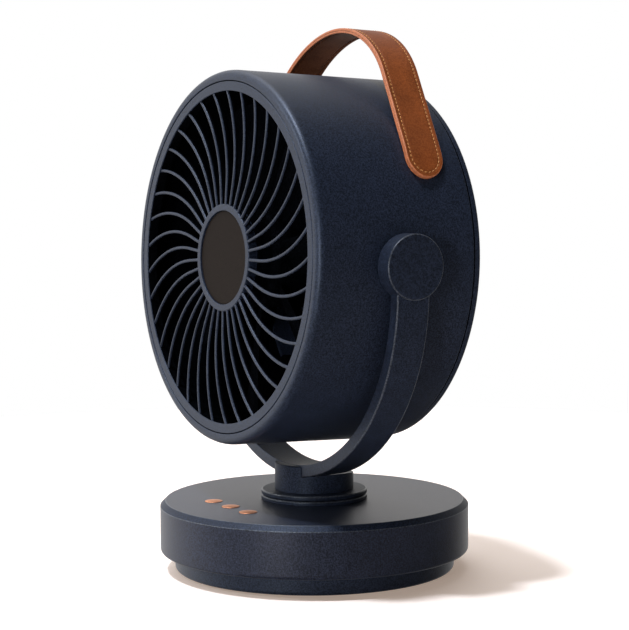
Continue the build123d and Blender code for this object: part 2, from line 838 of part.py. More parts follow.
def stator_coils():
    inner = stator_bore + coil_thick / 2
    outer = stator_radius - stator_yoke - coil_thick / 2
    gap = 2 * fixed_fit
    winding = Box(outer - inner, stator_tooth + 2 * coil_thick, stator_length + 2 * coil_thick)
    winding -= Box(outer - inner, stator_tooth + gap, stator_length + gap)
    coil = Pos((inner + outer) / 2, 0, stator_middle) * winding
    return [stood_up(Rot(0, 0, 360 * n / stator_teeth) * coil) for n in range(stator_teeth)]


def pivot_bolts():
    """Shoulder bolts on the tilt axis: the head turns on them inside the arms."""
    bolts = []
    for side in (-1, 1):
        low, high = sorted((side * bolt_end, side * (bolt_seat + running_fit)))
        shank = rod(bolt_radius, low, high)
        start = bolt_seat + running_fit
        low, high = sorted((side * start, side * (start + bolt_head_height)))
        bolts.append(stood_up(shank + rod(bolt_head_radius, low, high)))
    return bolts


# Rotor

def blade_section(radius, chord, pitch, middle):
    """Curved blade section square to the radius: two arcs between the leading and trailing edges."""
    lean = radians(pitch)
    plane = Plane(origin=(radius, 0, middle), x_dir=(0, cos(lean), sin(lean)), z_dir=(1, 0, 0))
    front = (-chord / 2, 0)
    back = (chord / 2, 0)
    outer = ThreePointArc(front, (0, blade_camber + blade_thick / 2), back)
    inner = ThreePointArc(back, (0, blade_camber - blade_thick / 2), front)
    return plane * make_face([outer, inner])


def impeller():
    hub = disc(impeller_hub_radius, impeller_rear, impeller_front)
    hub = rounded(hub, impeller_hub_radius, impeller_front, impeller_hub_wall)
    inside = impeller_hub_radius - impeller_hub_wall
    web_level = impeller_front - impeller_hub_wall
    boss_end = impeller_front - impeller_hub_length / 2
    hub -= disc(inside, impeller_rear, web_level)
    hub += disc(impeller_boss_radius, boss_end, web_level)
    middle = (impeller_front + impeller_rear) / 2
    start = impeller_hub_radius - impeller_hub_wall / 2
    end = impeller_radius + blade_thick
    stations = []
    for share in (0.0, 0.5, 1.0):
        chord = blade_root_chord + share * (blade_tip_chord - blade_root_chord)
        pitch = blade_root_pitch + share * (blade_tip_pitch - blade_root_pitch)
        stations.append(blade_section(start + share * (end - start), chord, pitch, middle))
    sweep = disc(impeller_radius, impeller_rear - blade_tip_chord, impeller_front + blade_tip_chord)
    blade = loft(stations) & sweep
    fan = hub
    for n in range(blade_count):
        fan += Rot(0, 0, 360 * n / blade_count) * blade
    fan -= disc(inside, impeller_rear - blade_tip_chord, boss_end)
    return stood_up(fan - disc(shaft_radius + fixed_fit, impeller_rear, impeller_front))


def motor_shaft():
    return stood_up(disc(shaft_radius, shaft_rear, shaft_front))


def rotor_magnet():
    low = stator_middle - stator_length / 2
    return stood_up(ring(magnet_radius, shaft_radius + fixed_fit, low, low + stator_length))


def impeller_nut():
    hexagon = RegularPolygon(nut_flats / 2, 6, major_radius=False) - Circle(shaft_radius + fixed_fit)
    return stood_up(Pos(0, 0, impeller_front) * extrude(hexagon, nut_height))


# Carrying strap

strap_apex = head_radius + strap_rise
strap_screw_seat = sqrt(shell_bore ** 2 - screw_head_radius ** 2)


def strap_screw_places():
    """Places of the strap's screws on the inside of the drum wall, with Z pointing outwards."""
    back = strap_tip_back + strap_lean * strap_climb(strap_screw_angle)
    places = []
    for side in (-1, 1):
        around = Location((0, 0, 0), (0, 0, 90 - side * strap_screw_angle))
        for spread in (-0.5, 0.5):
            along = spread * strap_screw_spread - back
            places.append(around * Location((strap_screw_seat, 0, along), (0, 90, 0)))
    return places


def strap_climb(angle):
    """Share of the strap's height gained at an angle from the top of the drum."""
    height = strap_inner_radius * cos(radians(angle))
    return (height - strap_tip_height) / (strap_apex - strap_tip_height)


def arch_region(offset):
    """Area under the strap's arch: the drum's circle with a tangent roof over the hand gap."""
    radius = strap_inner_radius + offset
    apex = strap_apex - strap_leather - strap_lining + offset
    slope = cos(radians(strap_leave_angle))
    bow = (radius / slope - apex) / (1 / slope - 1)
    bow_centre = apex - bow
    drum_x = radius * sin(radians(strap_leave_angle))
    drum_y = radius * slope
    bow_x = bow * sin(radians(strap_leave_angle))
    bow_y = bow_centre + bow * slope
    roof = make_face([
        Line((-drum_x, drum_y), (-bow_x, bow_y)),
        ThreePointArc((-bow_x, bow_y), (0, apex), (bow_x, bow_y)),
        Line((bow_x, bow_y), (drum_x, drum_y)),
        Line((drum_x, drum_y), (-drum_x, drum_y)),
    ])
    return Circle(radius) + roof


def strap_layer(inner, outer):
    """Band between two arches, cut to the leaning strip with round ends seen from the side."""
    depth = head_front + head_rear
    band = Pos(0, 0, -depth) * extrude(arch_region(outer) - arch_region(inner), 2 * depth)
    half = strap_width / 2
    lean = strap_lean / (strap_apex - strap_tip_height)
    end = Vector(-strap_tip_back - lean * half, strap_tip_height + half)
    top = Vector(-strap_tip_back - 2 * strap_lean, strap_apex + strap_apex - strap_tip_height)
    along = (top - end).normalized()
    across = Vector(-along.Y, along.X) * half
    strip = Circle(half).moved(Location((end.X, end.Y)))
    strip += make_face(Polyline(end + across, top + across, top - across, end - across, close=True))
    side_view = Plane(origin=(-2 * head_radius, 0, 0), x_dir=(0, 0, 1), z_dir=(-1, 0, 0))
    cutter = extrude(side_view * strip, -4 * head_radius)
    return band & cutter


def strap_lining_layer():
    lining = strap_layer(0, strap_lining)
    hole_depth = strap_inner_radius + strap_lining / 2 - strap_screw_seat
    for hole in strap_screw_places():
        lining -= hole * disc(screw_radius + fixed_fit, 0, hole_depth)
    return stood_up(lining)


def strap_leather_layer():
    return stood_up(strap_layer(strap_lining, strap_lining + strap_leather))


def strap_screws():
    bite = strap_inner_radius + strap_lining / 2 - strap_screw_seat - running_fit
    return [stood_up(place * Rot(180, 0, 0) * screw(0, bite)) for place in strap_screw_places()]


PIECES = {
    "base_shell": base_shell,
    "base_plate": base_plate,
    "foot_pads": foot_pads,
    "base_screws": base_screws,
    "base_collar": base_collar,
    "swivel_bush": swivel_bush,
    "control_board": control_board,
    "board_screws": board_screws,
    "button_switches": button_switches,
    "battery_pack": battery_pack,
    "usb_inlet": usb_inlet,
    "charge_board": charge_board,
    "swing_motor": swing_motor,
    "swing_motor_screws": swing_motor_screws,
    "swing_pinion": swing_pinion,
    "swing_shaft": swing_shaft,
    "button_left": lambda: push_button(button_xs[0]),
    "button_middle": lambda: push_button(button_xs[1]),
    "button_right": lambda: push_button(button_xs[2]),
    "swivel_washer": swivel_washer,
    "neck_collar": neck_collar,
    "neck_column": neck_column,
    "yoke": yoke,
    "yoke_screws": yoke_screws,
    "swivel_spindle": swivel_spindle,
    "swing_gear": swing_gear,
    "spindle_clip": spindle_clip,
    "pivot_washers": pivot_washers,
    "pivot_cap_left": lambda: pivot_cap(-1),
    "pivot_cap_right": lambda: pivot_cap(1),
    "head_shell": head_shell,
    "front_grille": front_grille,
    "hub_badge": hub_badge,
    "rear_cover": rear_cover,
    "rear_screws": rear_screws,
    "motor_can": motor_can,
    "motor_end_cap": motor_end_cap,
    "motor_screws": motor_screws,
    "motor_bearings": motor_bearings,
    "stator_core": stator_core,
    "stator_coils": stator_coils,
    "pivot_bolts": pivot_bolts,
    "strap_leather": strap_leather_layer,
    "strap_lining": strap_lining_layer,
    "strap_screws": strap_screws,
    "impeller": impeller,
    "motor_shaft": motor_shaft,
    "rotor_magnet": rotor_magnet,
    "impeller_nut": impeller_nut,
}

os.makedirs("parts", exist_ok=True)
for name, make in PIECES.items():
    piece = make()
    if isinstance(piece, list):
        piece = Compound(children=piece)
    export_step(piece, os.path.join("parts", name + ".step"))
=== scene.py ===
"""Dresses the frame of a mini desk fan: its moulded surfaces, sewn leather strap, finishes and studio."""

import json

import bmesh
import bpy
import numpy as np
from mathutils import Matrix, Vector

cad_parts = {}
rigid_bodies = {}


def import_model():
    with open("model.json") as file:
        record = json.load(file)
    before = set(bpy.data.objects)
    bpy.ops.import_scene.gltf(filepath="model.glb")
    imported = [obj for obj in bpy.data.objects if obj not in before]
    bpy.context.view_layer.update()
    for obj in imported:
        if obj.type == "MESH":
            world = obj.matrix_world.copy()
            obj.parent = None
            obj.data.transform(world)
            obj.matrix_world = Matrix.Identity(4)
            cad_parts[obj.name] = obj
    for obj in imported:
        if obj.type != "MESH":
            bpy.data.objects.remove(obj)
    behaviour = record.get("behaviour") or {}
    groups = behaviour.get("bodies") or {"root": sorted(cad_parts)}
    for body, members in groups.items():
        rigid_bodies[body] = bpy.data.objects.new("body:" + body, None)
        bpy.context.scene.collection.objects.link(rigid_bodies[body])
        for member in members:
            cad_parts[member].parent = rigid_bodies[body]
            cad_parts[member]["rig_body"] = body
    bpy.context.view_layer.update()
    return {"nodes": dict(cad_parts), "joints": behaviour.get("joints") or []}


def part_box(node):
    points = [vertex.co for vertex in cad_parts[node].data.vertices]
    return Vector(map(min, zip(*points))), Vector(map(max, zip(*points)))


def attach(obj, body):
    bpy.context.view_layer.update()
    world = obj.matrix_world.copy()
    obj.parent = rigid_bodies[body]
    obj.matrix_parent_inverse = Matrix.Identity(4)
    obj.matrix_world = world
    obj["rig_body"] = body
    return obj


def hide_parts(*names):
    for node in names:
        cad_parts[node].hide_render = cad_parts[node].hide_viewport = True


bl_info = {
    "name": "Mini Desk Fan",
    "version": (1, 0, 0),
    "blender": (4, 5, 0),
    "location": "View3D > Sidebar > Desk Fan",
    "description": "Builds the surfaces, finishes and studio of a small drum-shaped desk fan",
    "category": "Object",
}

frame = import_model()

# A millimetre, the reach of a weld, the play between fitted pieces, and the bend from which an edge is sharp
MM = 0.001
WELD = 2e-6
PLAY = 0.15 * MM
SHARP_ANGLE = np.radians(32)
FULL_TURN = 2 * np.pi

# Segments round a post, a screw, a button or pad, a plain round part, the drum, and the yoke's saddle
POST_STEPS, SCREW_STEPS, PAD_STEPS, ROUND_STEPS, DRUM_STEPS, SADDLE_STEPS = 48, 64, 96, 192, 256, 512

# Places that the frame gives: the tilt axis, the way the drum faces, and the two systems of axes.
# The head's own axes are across the drum, up its face and forwards out of it.
JOINTS = {joint["name"]: joint for joint in frame["joints"]}
PIVOT = np.array(JOINTS["head_tilt"]["pos_m"])
FORWARD = np.array(JOINTS["fan_spin"]["axis"])
ACROSS, BACKWARD, UP = np.eye(3)
UPRIGHT = (np.zeros(3), np.eye(3))
HEAD = (PIVOT, np.stack((ACROSS, np.cross(FORWARD, ACROSS), FORWARD)))


def head_points(mesh):
    """Places of a mesh's points along the head's axes."""
    points = np.empty(len(mesh.vertices) * 3)
    mesh.vertices.foreach_get("co", points)
    return (points.reshape(-1, 3) - PIVOT) @ HEAD[1].T


def head_reach(node):
    """Largest radius about the drum's axis, and the rear and front stations along it, of a head node."""
    x, y, z = head_points(frame["nodes"][node].data).T
    return np.hypot(x, y).max(), z.min(), z.max()


def upright_reach(node):
    """Largest radius about the base's axis, and the lowest and highest level, of a round node."""
    low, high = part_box(node)
    return high.x, low.z, high.z


COVER_RADIUS, COVER_FACE, COVER_END = head_reach("rear_cover")
GRILLE_RADIUS, GRILLE_BACK, GRILLE_FRONT = head_reach("front_grille")
PLATE_RADIUS, PLATE_BACK, PLATE_FRONT = head_reach("hub_badge")
FAN_RADIUS = head_reach("impeller")[0]
BASE_RADIUS, BASE_BOTTOM, BASE_TOP = upright_reach("base_shell")
FLANGE_RADIUS, FOOT_BOTTOM, _ = upright_reach("base_plate")
COLUMN_RADIUS, COLUMN_BOTTOM, COLUMN_TOP = upright_reach("neck_column")
BUTTONS = ("button_left", "button_middle", "button_right")


def length(name, default, description):
    """A size in metres that a user may change."""
    return bpy.props.FloatProperty(
        name=name, description=description, default=default, unit="LENGTH", precision=5)


def count(name, default, description):
    """A number of like things that a user may change."""
    return bpy.props.IntProperty(name=name, description=description, default=default, min=1)


def angle(name, default, description):
    """An angle, given here in degrees, that a user may change."""
    return bpy.props.FloatProperty(
        name=name, description=description, default=np.radians(default), subtype="ANGLE")


def colour(name, default, description):
    """A linear colour that a user may change."""
    return bpy.props.FloatVectorProperty(
        name=name, description=description, default=default, size=3, subtype="COLOR", min=0.0, max=1.0)


class FanBaseSizes(bpy.types.PropertyGroup):
    """Sizes of the base and neck."""

    foot_radius: length("Foot", BASE_RADIUS - 7.0 * MM, "Radius of the foot under the base")
    top_chamfer: length("Top chamfer", 2.6 * MM, "Width of the slope round the base's top")
    chamfer_round: length("Chamfer round", 0.45 * MM, "Rounding of the slope's two edges")
    lower_round: length("Lower round", 1.6 * MM, "Rounding of the lower edges of base and foot")
    wall: length("Wall", 2.6 * MM, "Thickness of the base's side")
    top_wall: length("Top wall", 3.0 * MM, "Thickness of the base's top")
    collar_round: length("Collar round", 0.7 * MM, "Rounding of the collars' top edges")
    column_round: length("Column round", 0.8 * MM, "Rounding of the neck's top edge")
    button_gap: length("Button gap", 0.15 * MM, "Gap between a button and its hole")
    button_round: length("Button round", 0.2 * MM, "Rounding of a button's edge")
    button_dome: length("Button dome", 0.35 * MM, "Rise of a button's face to its middle")


class FanYokeSizes(bpy.types.PropertyGroup):
    """Sizes of the yoke and its round covers."""

    thick: length("Thickness", 5.8 * MM, "Thickness of the yoke's band")
    edge_round: length("Edge round", 0.6 * MM, "Rounding of the band's long edges")
    seat_gap: length("Seat gap", 0.25 * MM, "Shadow gap between the band and the neck")
    cap_radius: length("Cover radius", 14.7 * MM, "Radius of the cover on each arm")
    cap_round: length("Cover round", 0.5 * MM, "Rounding of the cover's face")
    cap_wall: length("Cover wall", 2.2 * MM, "Thickness of the cover's skirt")


class FanHeadSizes(bpy.types.PropertyGroup):
    """Sizes of the drum, grille, rear cover and blades."""

    radius: length("Drum radius", COVER_RADIUS + 0.7 * MM, "Outer radius of the drum")
    wall: length("Drum wall", 2.6 * MM, "Thickness of the drum's wall")
    lip_round: length("Lip round", 3.2 * MM, "Rounding of the drum's front edge")
    lip: length("Lip", 5.0 * MM, "Width of the drum's front edge, from its side to the seam")
    lip_proud: length("Lip proud", 0.1 * MM, "How far the front edge stands before the grille")
    edge_round: length("Edge round", 0.4 * MM, "Rounding of the seam's edges")
    ring: length("Grille ring", 4.5 * MM, "Width of the grille's outer ring")
    hub_radius: length("Hub radius", 25.3 * MM, "Outer radius of the grille's hub ring")
    hub_rim: length("Hub rim", 3.2 * MM, "Width of the hub ring")
    hub_sink: length("Hub sink", 0.4 * MM, "How far the hub lies behind the grille's ring")
    rib_count: count("Ribs", 37, "Number of the grille's ribs")
    rib_width: length("Rib width", 1.5 * MM, "Width of a rib")
    rib_round: length("Rib round", 0.6 * MM, "Rounding of a rib's front edges")
    rib_depth: length("Rib depth", 1.8 * MM, "Depth of a rib from front to back")
    rib_sink: length("Rib sink", 0.5 * MM, "How far the ribs lie behind the grille's ring")
    rib_straight: length("Rib straight", 9.2 * MM, "Straight part of a rib, beside the hub")
    rib_sweep: angle("Rib sweep", 13.5, "Angle by which a rib's outer end runs ahead")
    rib_phase: angle("Rib phase", -0.25, "Angle of the first rib")
    parting_gap: length("Parting gap", 0.4 * MM, "Gap between the drum and its rear cover")
    parting_round: length("Parting round", 0.5 * MM, "Rounding of the edges on both sides of that gap")
    rear_band: length("Rear band", 4.0 * MM, "Depth of the rear cover's rim")
    rear_round: length("Rear round", 1.6 * MM, "Rounding of the rear cover's edge")
    rear_plate: length("Rear plate", 2.4 * MM, "Thickness of the rear cover")
    slot_count: count("Slots", 36, "Number of slots in each ring of the rear cover")
    slot_width: length("Slot width", 3.4 * MM, "Width of a slot")
    slot_start: length("Slots from", 30.0 * MM, "Radius where the inner ring of slots starts")
    slot_bridge: length("Slot bridge", 4.0 * MM, "Solid band between the two rings of slots")
    slot_end: length("Slots to", 73.0 * MM, "Radius where the outer ring of slots ends")
    slot_edge: length("Slot edge", 0.35 * MM, "Slope round each slot's edge")
    screw_radius: length("Screw head", 2.7 * MM, "Radius of a screw's head")
    screw_height: length("Screw height", 1.8 * MM, "Height of a screw's head")
    screw_sink: length("Screw sink", 2.0 * MM, "Depth of a screw's seat in the rear cover")
    blade_count: count("Blades", 7, "Number of fan blades")
    blade_thick: length("Blade thickness", 2.2 * MM, "Thickness of a blade at its middle")
    blade_camber: length("Blade camber", 4.0 * MM, "Bow of a blade's section")


class FanStrapSizes(bpy.types.PropertyGroup):
    """Sizes of the carrying strap."""

    width: length("Width", 19.3 * MM, "Width of the strap")
    leather: length("Leather", 1.3 * MM, "Thickness of the outer leather")
    lining: length("Lining", 1.1 * MM, "Thickness of the lining")
    seat_gap: length("Seat gap", 0.25 * MM, "Gap between the drum and the lining")
    rise: length("Rise", 23.6 * MM, "Height of the strap's top above the drum")
    leave_angle: angle("Leaves at", 52.5, "Angle from the drum's top where the strap leaves it")
    tip_angle: angle("Tip at", 63.92, "Angle from the drum's top where the strap ends")
    tip_back: length("Tip back", 16.0 * MM, "How far the strap's ends lie behind the tilt axis")
    lean: length("Lean", 10.4 * MM, "How much further back the strap's top lies")
    edge_round: length("Edge round", 0.45 * MM, "Rounding of the leather's edge")
    stitch_inset: length("Stitch inset", 2.2 * MM, "Distance of the seam from the edge")
    stitch_pitch: length("Stitch pitch", 2.2 * MM, "Length from one stitch to the next")
    stitch_length: length("Stitch length", 1.6 * MM, "Length of thread that shows in a stitch")
    thread: length("Thread", 0.26 * MM, "Radius of the thread")
    groove: length("Groove", 0.25 * MM, "Depth of the seam's furrow")


class FanColours(bpy.types.PropertyGroup):
    """Colours of the finishes."""

    plastic: colour("Plastic", (0.0110, 0.0155, 0.0290), "Navy moulded plastic")
    # Painted highlight: a lighter colour for the rounded plastic edges, standing in for the light they catch
    worn: colour("Worn edges", (0.0370, 0.0430, 0.0580), "Edges of the plastic that are rubbed lighter")
    # Near black for the parts inside the drum; the same colour paints the shade on the ribs' sides, the
    # grille ring's inner wall and the parting seam
    inner: colour("Inner plastic", (0.0015, 0.0018, 0.0026), "Black plastic inside the drum")
    plate: colour("Hub plate", (0.0120, 0.0088, 0.0072), "Bare plate in the grille's hub")
    leather: colour("Leather", (0.2500, 0.0670, 0.0160), "Tanned strap leather")
    edge: colour("Leather edge", (0.4000, 0.1250, 0.0480), "Cut edge of the leather")
    lining: colour("Lining", (0.1400, 0.0470, 0.0170), "Flesh side under the strap")
    thread: colour("Thread", (0.4600, 0.1950, 0.0500), "Strap thread")
    copper: colour("Copper", (0.6400, 0.2900, 0.1600), "Plated buttons")
    rubber: colour("Rubber", (0.0100, 0.0100, 0.0110), "Feet")
    steel: colour("Steel", (0.4300, 0.4400, 0.4600), "Screws and shafts")


# Surfaces

def grid(points, wrap=False, slot=0):
    """A sheet of points as copies x rows x columns x 3, its quads, and their finish slots, which may differ
    by row or column; wrap joins the last column to the first."""
    points = np.asarray(points, float)
    points = points if points.ndim == 4 else points[None]
    index = np.arange(points[..., 0].size).reshape(points.shape[:3])
    before = index if wrap else index[:, :, :-1]
    after = np.roll(index, -1, axis=2) if wrap else index[:, :, 1:]
    quads = np.stack((before[:, :-1], after[:, :-1], after[:, 1:], before[:, 1:]), axis=-1)
    slots = np.broadcast_to(slot, quads.shape[:3])
    return points.reshape(-1, 3), quads.reshape(-1, 4), slots.reshape(-1)


def placed(points, where=UPRIGHT):
    """Points given along a system of axes, in the frame."""
    return where[0] + np.asarray(points) @ where[1]


def axes_along(origin, axis):
    """A system of axes whose third one points along a line."""
    third = np.asarray(axis, float) / np.linalg.norm(axis)
    first = np.cross(UP if abs(third[2]) < 0.9 else ACROSS, third)
    first /= np.linalg.norm(first)
    return np.asarray(origin, float), np.stack((first, np.cross(third, first), third))


def upright_at(x, y):
    """The upright system of axes, moved to a place on the floor."""
    return np.array((x, y, 0.0)), UPRIGHT[1]


def round_points(turns):
    """(x, y) places on a circle of radius one."""
    return np.stack((np.cos(turns), np.sin(turns)), axis=-1)


def on_circle(number, radius, first=0.0):
    """Evenly spaced (x, y) places on a circle."""
    return radius * round_points(first + FULL_TURN * np.arange(number) / number)


def outline(*corners, steps=6, lead=0.25):
    """Outline through (x, y, round) corners: each rounded corner is an arc tangent to its two sides, with
    one more point on each side beside it, so that the flat beyond keeps its own direction."""
    places = np.array([corner[:2] for corner in corners], float)
    made = []
    for n, corner in enumerate(corners):
        radius = corner[2] if len(corner) > 2 else 0.0
        if radius == 0.0:
            made.append(places[n][None])
            continue
        sides = np.stack((places[n - 1], places[(n + 1) % len(places)])) - places[n]
        sides /= np.linalg.norm(sides, axis=1)[:, None]
        half = 0.5 * np.arccos(np.clip(sides[0] @ sides[1], -1, 1))
        reach = radius / np.tan(half)
        middle = sides.sum(0) / np.linalg.norm(sides.sum(0))
        centre = places[n] + middle * radius / np.sin(half)
        turns = np.linspace(-1, 1, steps + 1)[:, None] * (np.pi / 2 - half)
        sideways = (sides[1] - sides[0]) / np.linalg.norm(sides[1] - sides[0])
        arc = centre + radius * (np.sin(turns) * sideways - np.cos(turns) * middle)
        before, after = (places[n] + side * (reach + lead * reach) for side in sides)
        made += [before[None], arc, after[None]]
    return np.concatenate(made)


def disc_profile(radius, low, high, top_round=0.0, low_round=0.0):
    """Half section of a disc, from its middle below to its middle above."""
    return outline((0.0, low), (radius, low, low_round), (radius, high, top_round), (0.0, high))


def bar_section(half, low, high, low_round, high_round, **detail):
    """Section of a flat bar, as wide on both sides, with its lower and its upper corners rounded."""
    return outline((-half, low, low_round), (half, low, low_round), (half, high, high_round),
                   (-half, high, high_round), **detail)


def rows_near(profile, corner, reach):
    """Which rows of a closed outline lie near a corner: in both directions within a distance and a hair."""
    near = np.abs(profile - corner).max(axis=1) < 1.01 * reach
    return (near & np.roll(near, -1))[:, None]


def spun(profile, segments):
    """A profile of (radius, height) points taken round the third axis, as rows x columns x 3."""
    turns = np.linspace(0, FULL_TURN, segments, endpoint=False)
    points = np.empty((len(profile), segments, 3))
    points[..., :2] = profile[:, None, :1] * round_points(turns)
    points[..., 2] = profile[:, None, 1]
    return points


def turned(profile, where=UPRIGHT, segments=ROUND_STEPS, closed=True, slot=0):
    """Surface of revolution about the third of some axes."""
    profile = np.concatenate((profile, profile[:1])) if closed else profile
    return grid(placed(spun(profile, segments), where), wrap=True, slot=slot)


def with_ends(points):
    """Closed rows of points, ... x rows x columns x 3, with the first and last one filled to its middle."""
    middles = np.broadcast_to(points.mean(axis=-2, keepdims=True), points.shape)
    return np.concatenate((middles[..., :1, :, :], points, middles[..., -1:, :, :]), axis=-3)


def carried(section, path, first, second, slot=0):
    """Closed section of (first, second) points carried along a path, ... x rows x 3, with filled ends."""
    first, second = (np.broadcast_to(side, path.shape)[..., None, :] for side in (first, second))
    points = path[..., None, :] + section[:, :1] * first + section[:, 1:] * second
    return grid(with_ends(points), wrap=True, slot=slot)


def smooth(mesh):
    """Shades a mesh smooth, apart from its sharp edges."""
    mesh.shade_smooth()
    mesh.set_sharp_from_angle(angle=SHARP_ANGLE)


def shell(name, sheets, *finishes):
    """Mesh object from sheets, with its finishes: seams and poles welded, faces turned outwards."""
    starts = np.cumsum([0] + [len(points) for points, _, _ in sheets])
    points = np.concatenate([points for points, _, _ in sheets])
    quads = np.concatenate([quads + start for (_, quads, _), start in zip(sheets, starts)])
    slots = np.concatenate([slots for _, _, slots in sheets])
    mesh = bpy.data.meshes.new(name)
    mesh.from_pydata(points.tolist(), [], quads.tolist())
    mesh.polygons.foreach_set("material_index", slots.astype(np.int32))
    work = bmesh.new()
    work.from_mesh(mesh)
    bmesh.ops.remove_doubles(work, verts=work.verts, dist=WELD)
    bmesh.ops.recalc_face_normals(work, faces=work.faces)
    work.to_mesh(mesh)
    work.free()
    smooth(mesh)
    for finish in finishes:
        mesh.materials.append(finish_of(finish))
    made = bpy.data.objects.new(name, mesh)
    bpy.context.scene.collection.objects.link(made)
    return made


def cut(target, tools):
    """Takes the tools' shapes out of a piece."""
    for tool in tools:
        change = target.modifiers.new("cut", "BOOLEAN")
        change.object = tool
        change.solver = "EXACT"
    seen = target.evaluated_get(bpy.context.evaluated_depsgraph_get())
    mesh = bpy.data.meshes.new_from_object(seen)
    target.modifiers.clear()
    target.data = mesh
    smooth(mesh)
    for tool in tools:
        bpy.data.objects.remove(tool)


def settle(made, node):
    """Lets a piece stand for its CAD node, on that node's body."""
    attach(made, frame["nodes"][node]["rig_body"])
    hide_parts(node)


# Finishes

def fill(tree, socket, source):
    """Gives a socket a value, or joins it to another node's output."""
    if isinstance(source, bpy.types.NodeSocket):
        tree.links.new(source, socket)
    else:
        socket.default_value = source


def add_node(tree, kind, **sources):
    """A new node, with a source for each socket that is named."""
    made = tree.nodes.new("ShaderNode" + kind)
    for name, source in sources.items():
        fill(tree, made.inputs[name.replace("_", " ")], source)
    return made


def shade(tone, amount):
    """A colour made darker or lighter."""
    return tuple(min(1.0, value * amount) for value in tone)


class Finish:
    """A material in the making: its shader, and short ways to add the patterns that feed it."""

    def __init__(self, name, **settings):
        self.material = bpy.data.materials.new(name)
        self.material.use_nodes = True
        self.tree = self.material.node_tree
        self.shader = self.tree.nodes["Principled BSDF"]
        self.relief = None
        for socket, value in settings.items():
            self.shader.inputs[socket.replace("_", " ")].default_value = value
        self.coordinates = self.add("TexCoord").outputs["Object"]

    def add(self, kind, **sources):
        """A new node in this material."""
        return add_node(self.tree, kind, **sources)

    def stretched(self, scale):
        """Object coordinates drawn out by a scale along each axis."""
        return self.add("Mapping", Vector=self.coordinates, Scale=scale).outputs["Vector"]

    def noise(self, scale, detail=3.0, rough=0.5, along=None):
        """Cloudy pattern with so many features to the metre."""
        return self.add("TexNoise", Vector=along or self.coordinates, Scale=scale, Detail=detail,
                        Roughness=rough).outputs["Fac"]

    def cells(self, scale):
        """Pebbled pattern: distance to the nearest of so many points to the metre."""
        return self.add("TexVoronoi", Vector=self.coordinates, Scale=scale).outputs["Distance"]

    def own(self, name):
        """A value that the piece's mesh carries."""
        made = self.add("Attribute")
        made.attribute_name = name
        return made.outputs["Fac"]

    def tones(self, factor, *stops):
        """Colours along a pattern, as (place, colour) stops."""
        ramp = self.add("ValToRGB", Fac=factor)
        band = ramp.color_ramp
        while len(band.elements) < len(stops):
            band.elements.new(0.5)
        for element, (place, tone) in zip(band.elements, stops):
            element.position = place
            element.color = (*tone, 1.0)
        return ramp.outputs["Color"]

    def times(self, first, second):
        """Two colours multiplied."""
        made = self.add("Mix", Factor=1.0)
        made.data_type = "RGBA"
        made.blend_type = "MULTIPLY"
        for socket, source in zip(made.inputs[6:8], (first, second)):
            fill(self.tree, socket, source)
        return made.outputs[2]

    def feed(self, socket, source):
        """Joins a pattern to the shader."""
        self.tree.links.new(source, self.shader.inputs[socket])

    def mottle(self, pattern, tone, dark, light):
        """Varies the colour with a pattern, from a darker to a lighter shade."""
        self.feed("Base Color", self.tones(pattern, (0.3, shade(tone, dark)), (0.7, shade(tone, light))))

    def uneven_gloss(self, pattern, low, high):
        """Varies the roughness with a pattern, between two values."""
        spread = self.add("MapRange", Value=pattern, To_Min=low, To_Max=high)
        self.feed("Roughness", spread.outputs["Result"])

    def raised(self, height, strength, depth):
        """Adds a relief of that depth, in metres, over the one that is there."""
        below = {"Normal": self.relief} if self.relief else {}
        made = self.add("Bump", Height=height, Strength=strength, Distance=depth, **below)
        self.relief = made.outputs["Normal"]
        self.feed("Normal", self.relief)


def moulded_plastic(name, tone, rough=0.43, gloss=0.5, tint=(0.64, 0.76, 1.0)):
    """Matte moulded plastic: fine eroded grain, faint mottling and slightly uneven gloss."""
    finish = Finish(name, IOR=1.46, Specular_IOR_Level=gloss, Specular_Tint=(*tint, 1.0))
    speckle = finish.noise(1400.0, 2.0, 0.8)
    cloud = finish.noise(38.0, 4.0)
    flecks = finish.tones(speckle, (0.38, shade(tone, 0.3)), (0.62, shade(tone, 1.8)))
    clouds = finish.tones(cloud, (0.3, (0.9, 0.9, 0.9)), (0.7, (1.0, 1.0, 1.0)))
    finish.feed("Base Color", finish.times(flecks, clouds))
    finish.uneven_gloss(speckle, rough - 0.12, rough + 0.12)
    finish.raised(speckle, 0.6, 0.12 * MM)
    return finish.material


def grained_leather(name, tone, rough=0.5):
    """Tanned leather: pebbled grain with darker pits, drawn-out mottling, and edges darkened by handling."""
    finish = Finish(name, IOR=1.45, Specular_IOR_Level=0.18)
    pebbles = finish.cells(1150.0)
    pores = finish.noise(2600.0, 3.0, 0.6)
    cloud = finish.noise(65.0, 5.0, 0.6)
    body = finish.tones(cloud, (0.28, shade(tone, 0.78)), (0.52, tone), (0.75, shade(tone, 1.3)))
    pits = finish.tones(pebbles, (0.0, (1.0, 1.0, 1.0)), (0.75, (0.66, 0.6, 0.56)))
    worn = finish.tones(finish.own("inset"), (0.0, (0.62, 0.55, 0.5)), (0.12, (1.0, 1.0, 1.0)))
    finish.feed("Base Color", finish.times(finish.times(body, pits), worn))
    finish.uneven_gloss(pores, rough - 0.1, rough + 0.12)
    finish.raised(pebbles, 0.45, 0.09 * MM)
    finish.raised(pores, 0.35, 0.06 * MM)
    return finish.material


def speckled(name, tone, pattern, shades, relief, **settings):
    """Matt stuff with one fine pattern, which gives its darker and lighter shade and its relief."""
    finish = Finish(name, **settings)
    grain = finish.noise(*pattern)
    finish.mottle(grain, tone, *shades)
    finish.raised(grain, *relief)
    return finish.material


def sprayed_plate(name, tone):
    """Matt plate with a fine sprayed texture."""
    return speckled(name, tone, (1900.0, 2.0), (0.7, 1.3), (0.35, 0.05 * MM),
                    Roughness=0.6, Specular_IOR_Level=0.05)


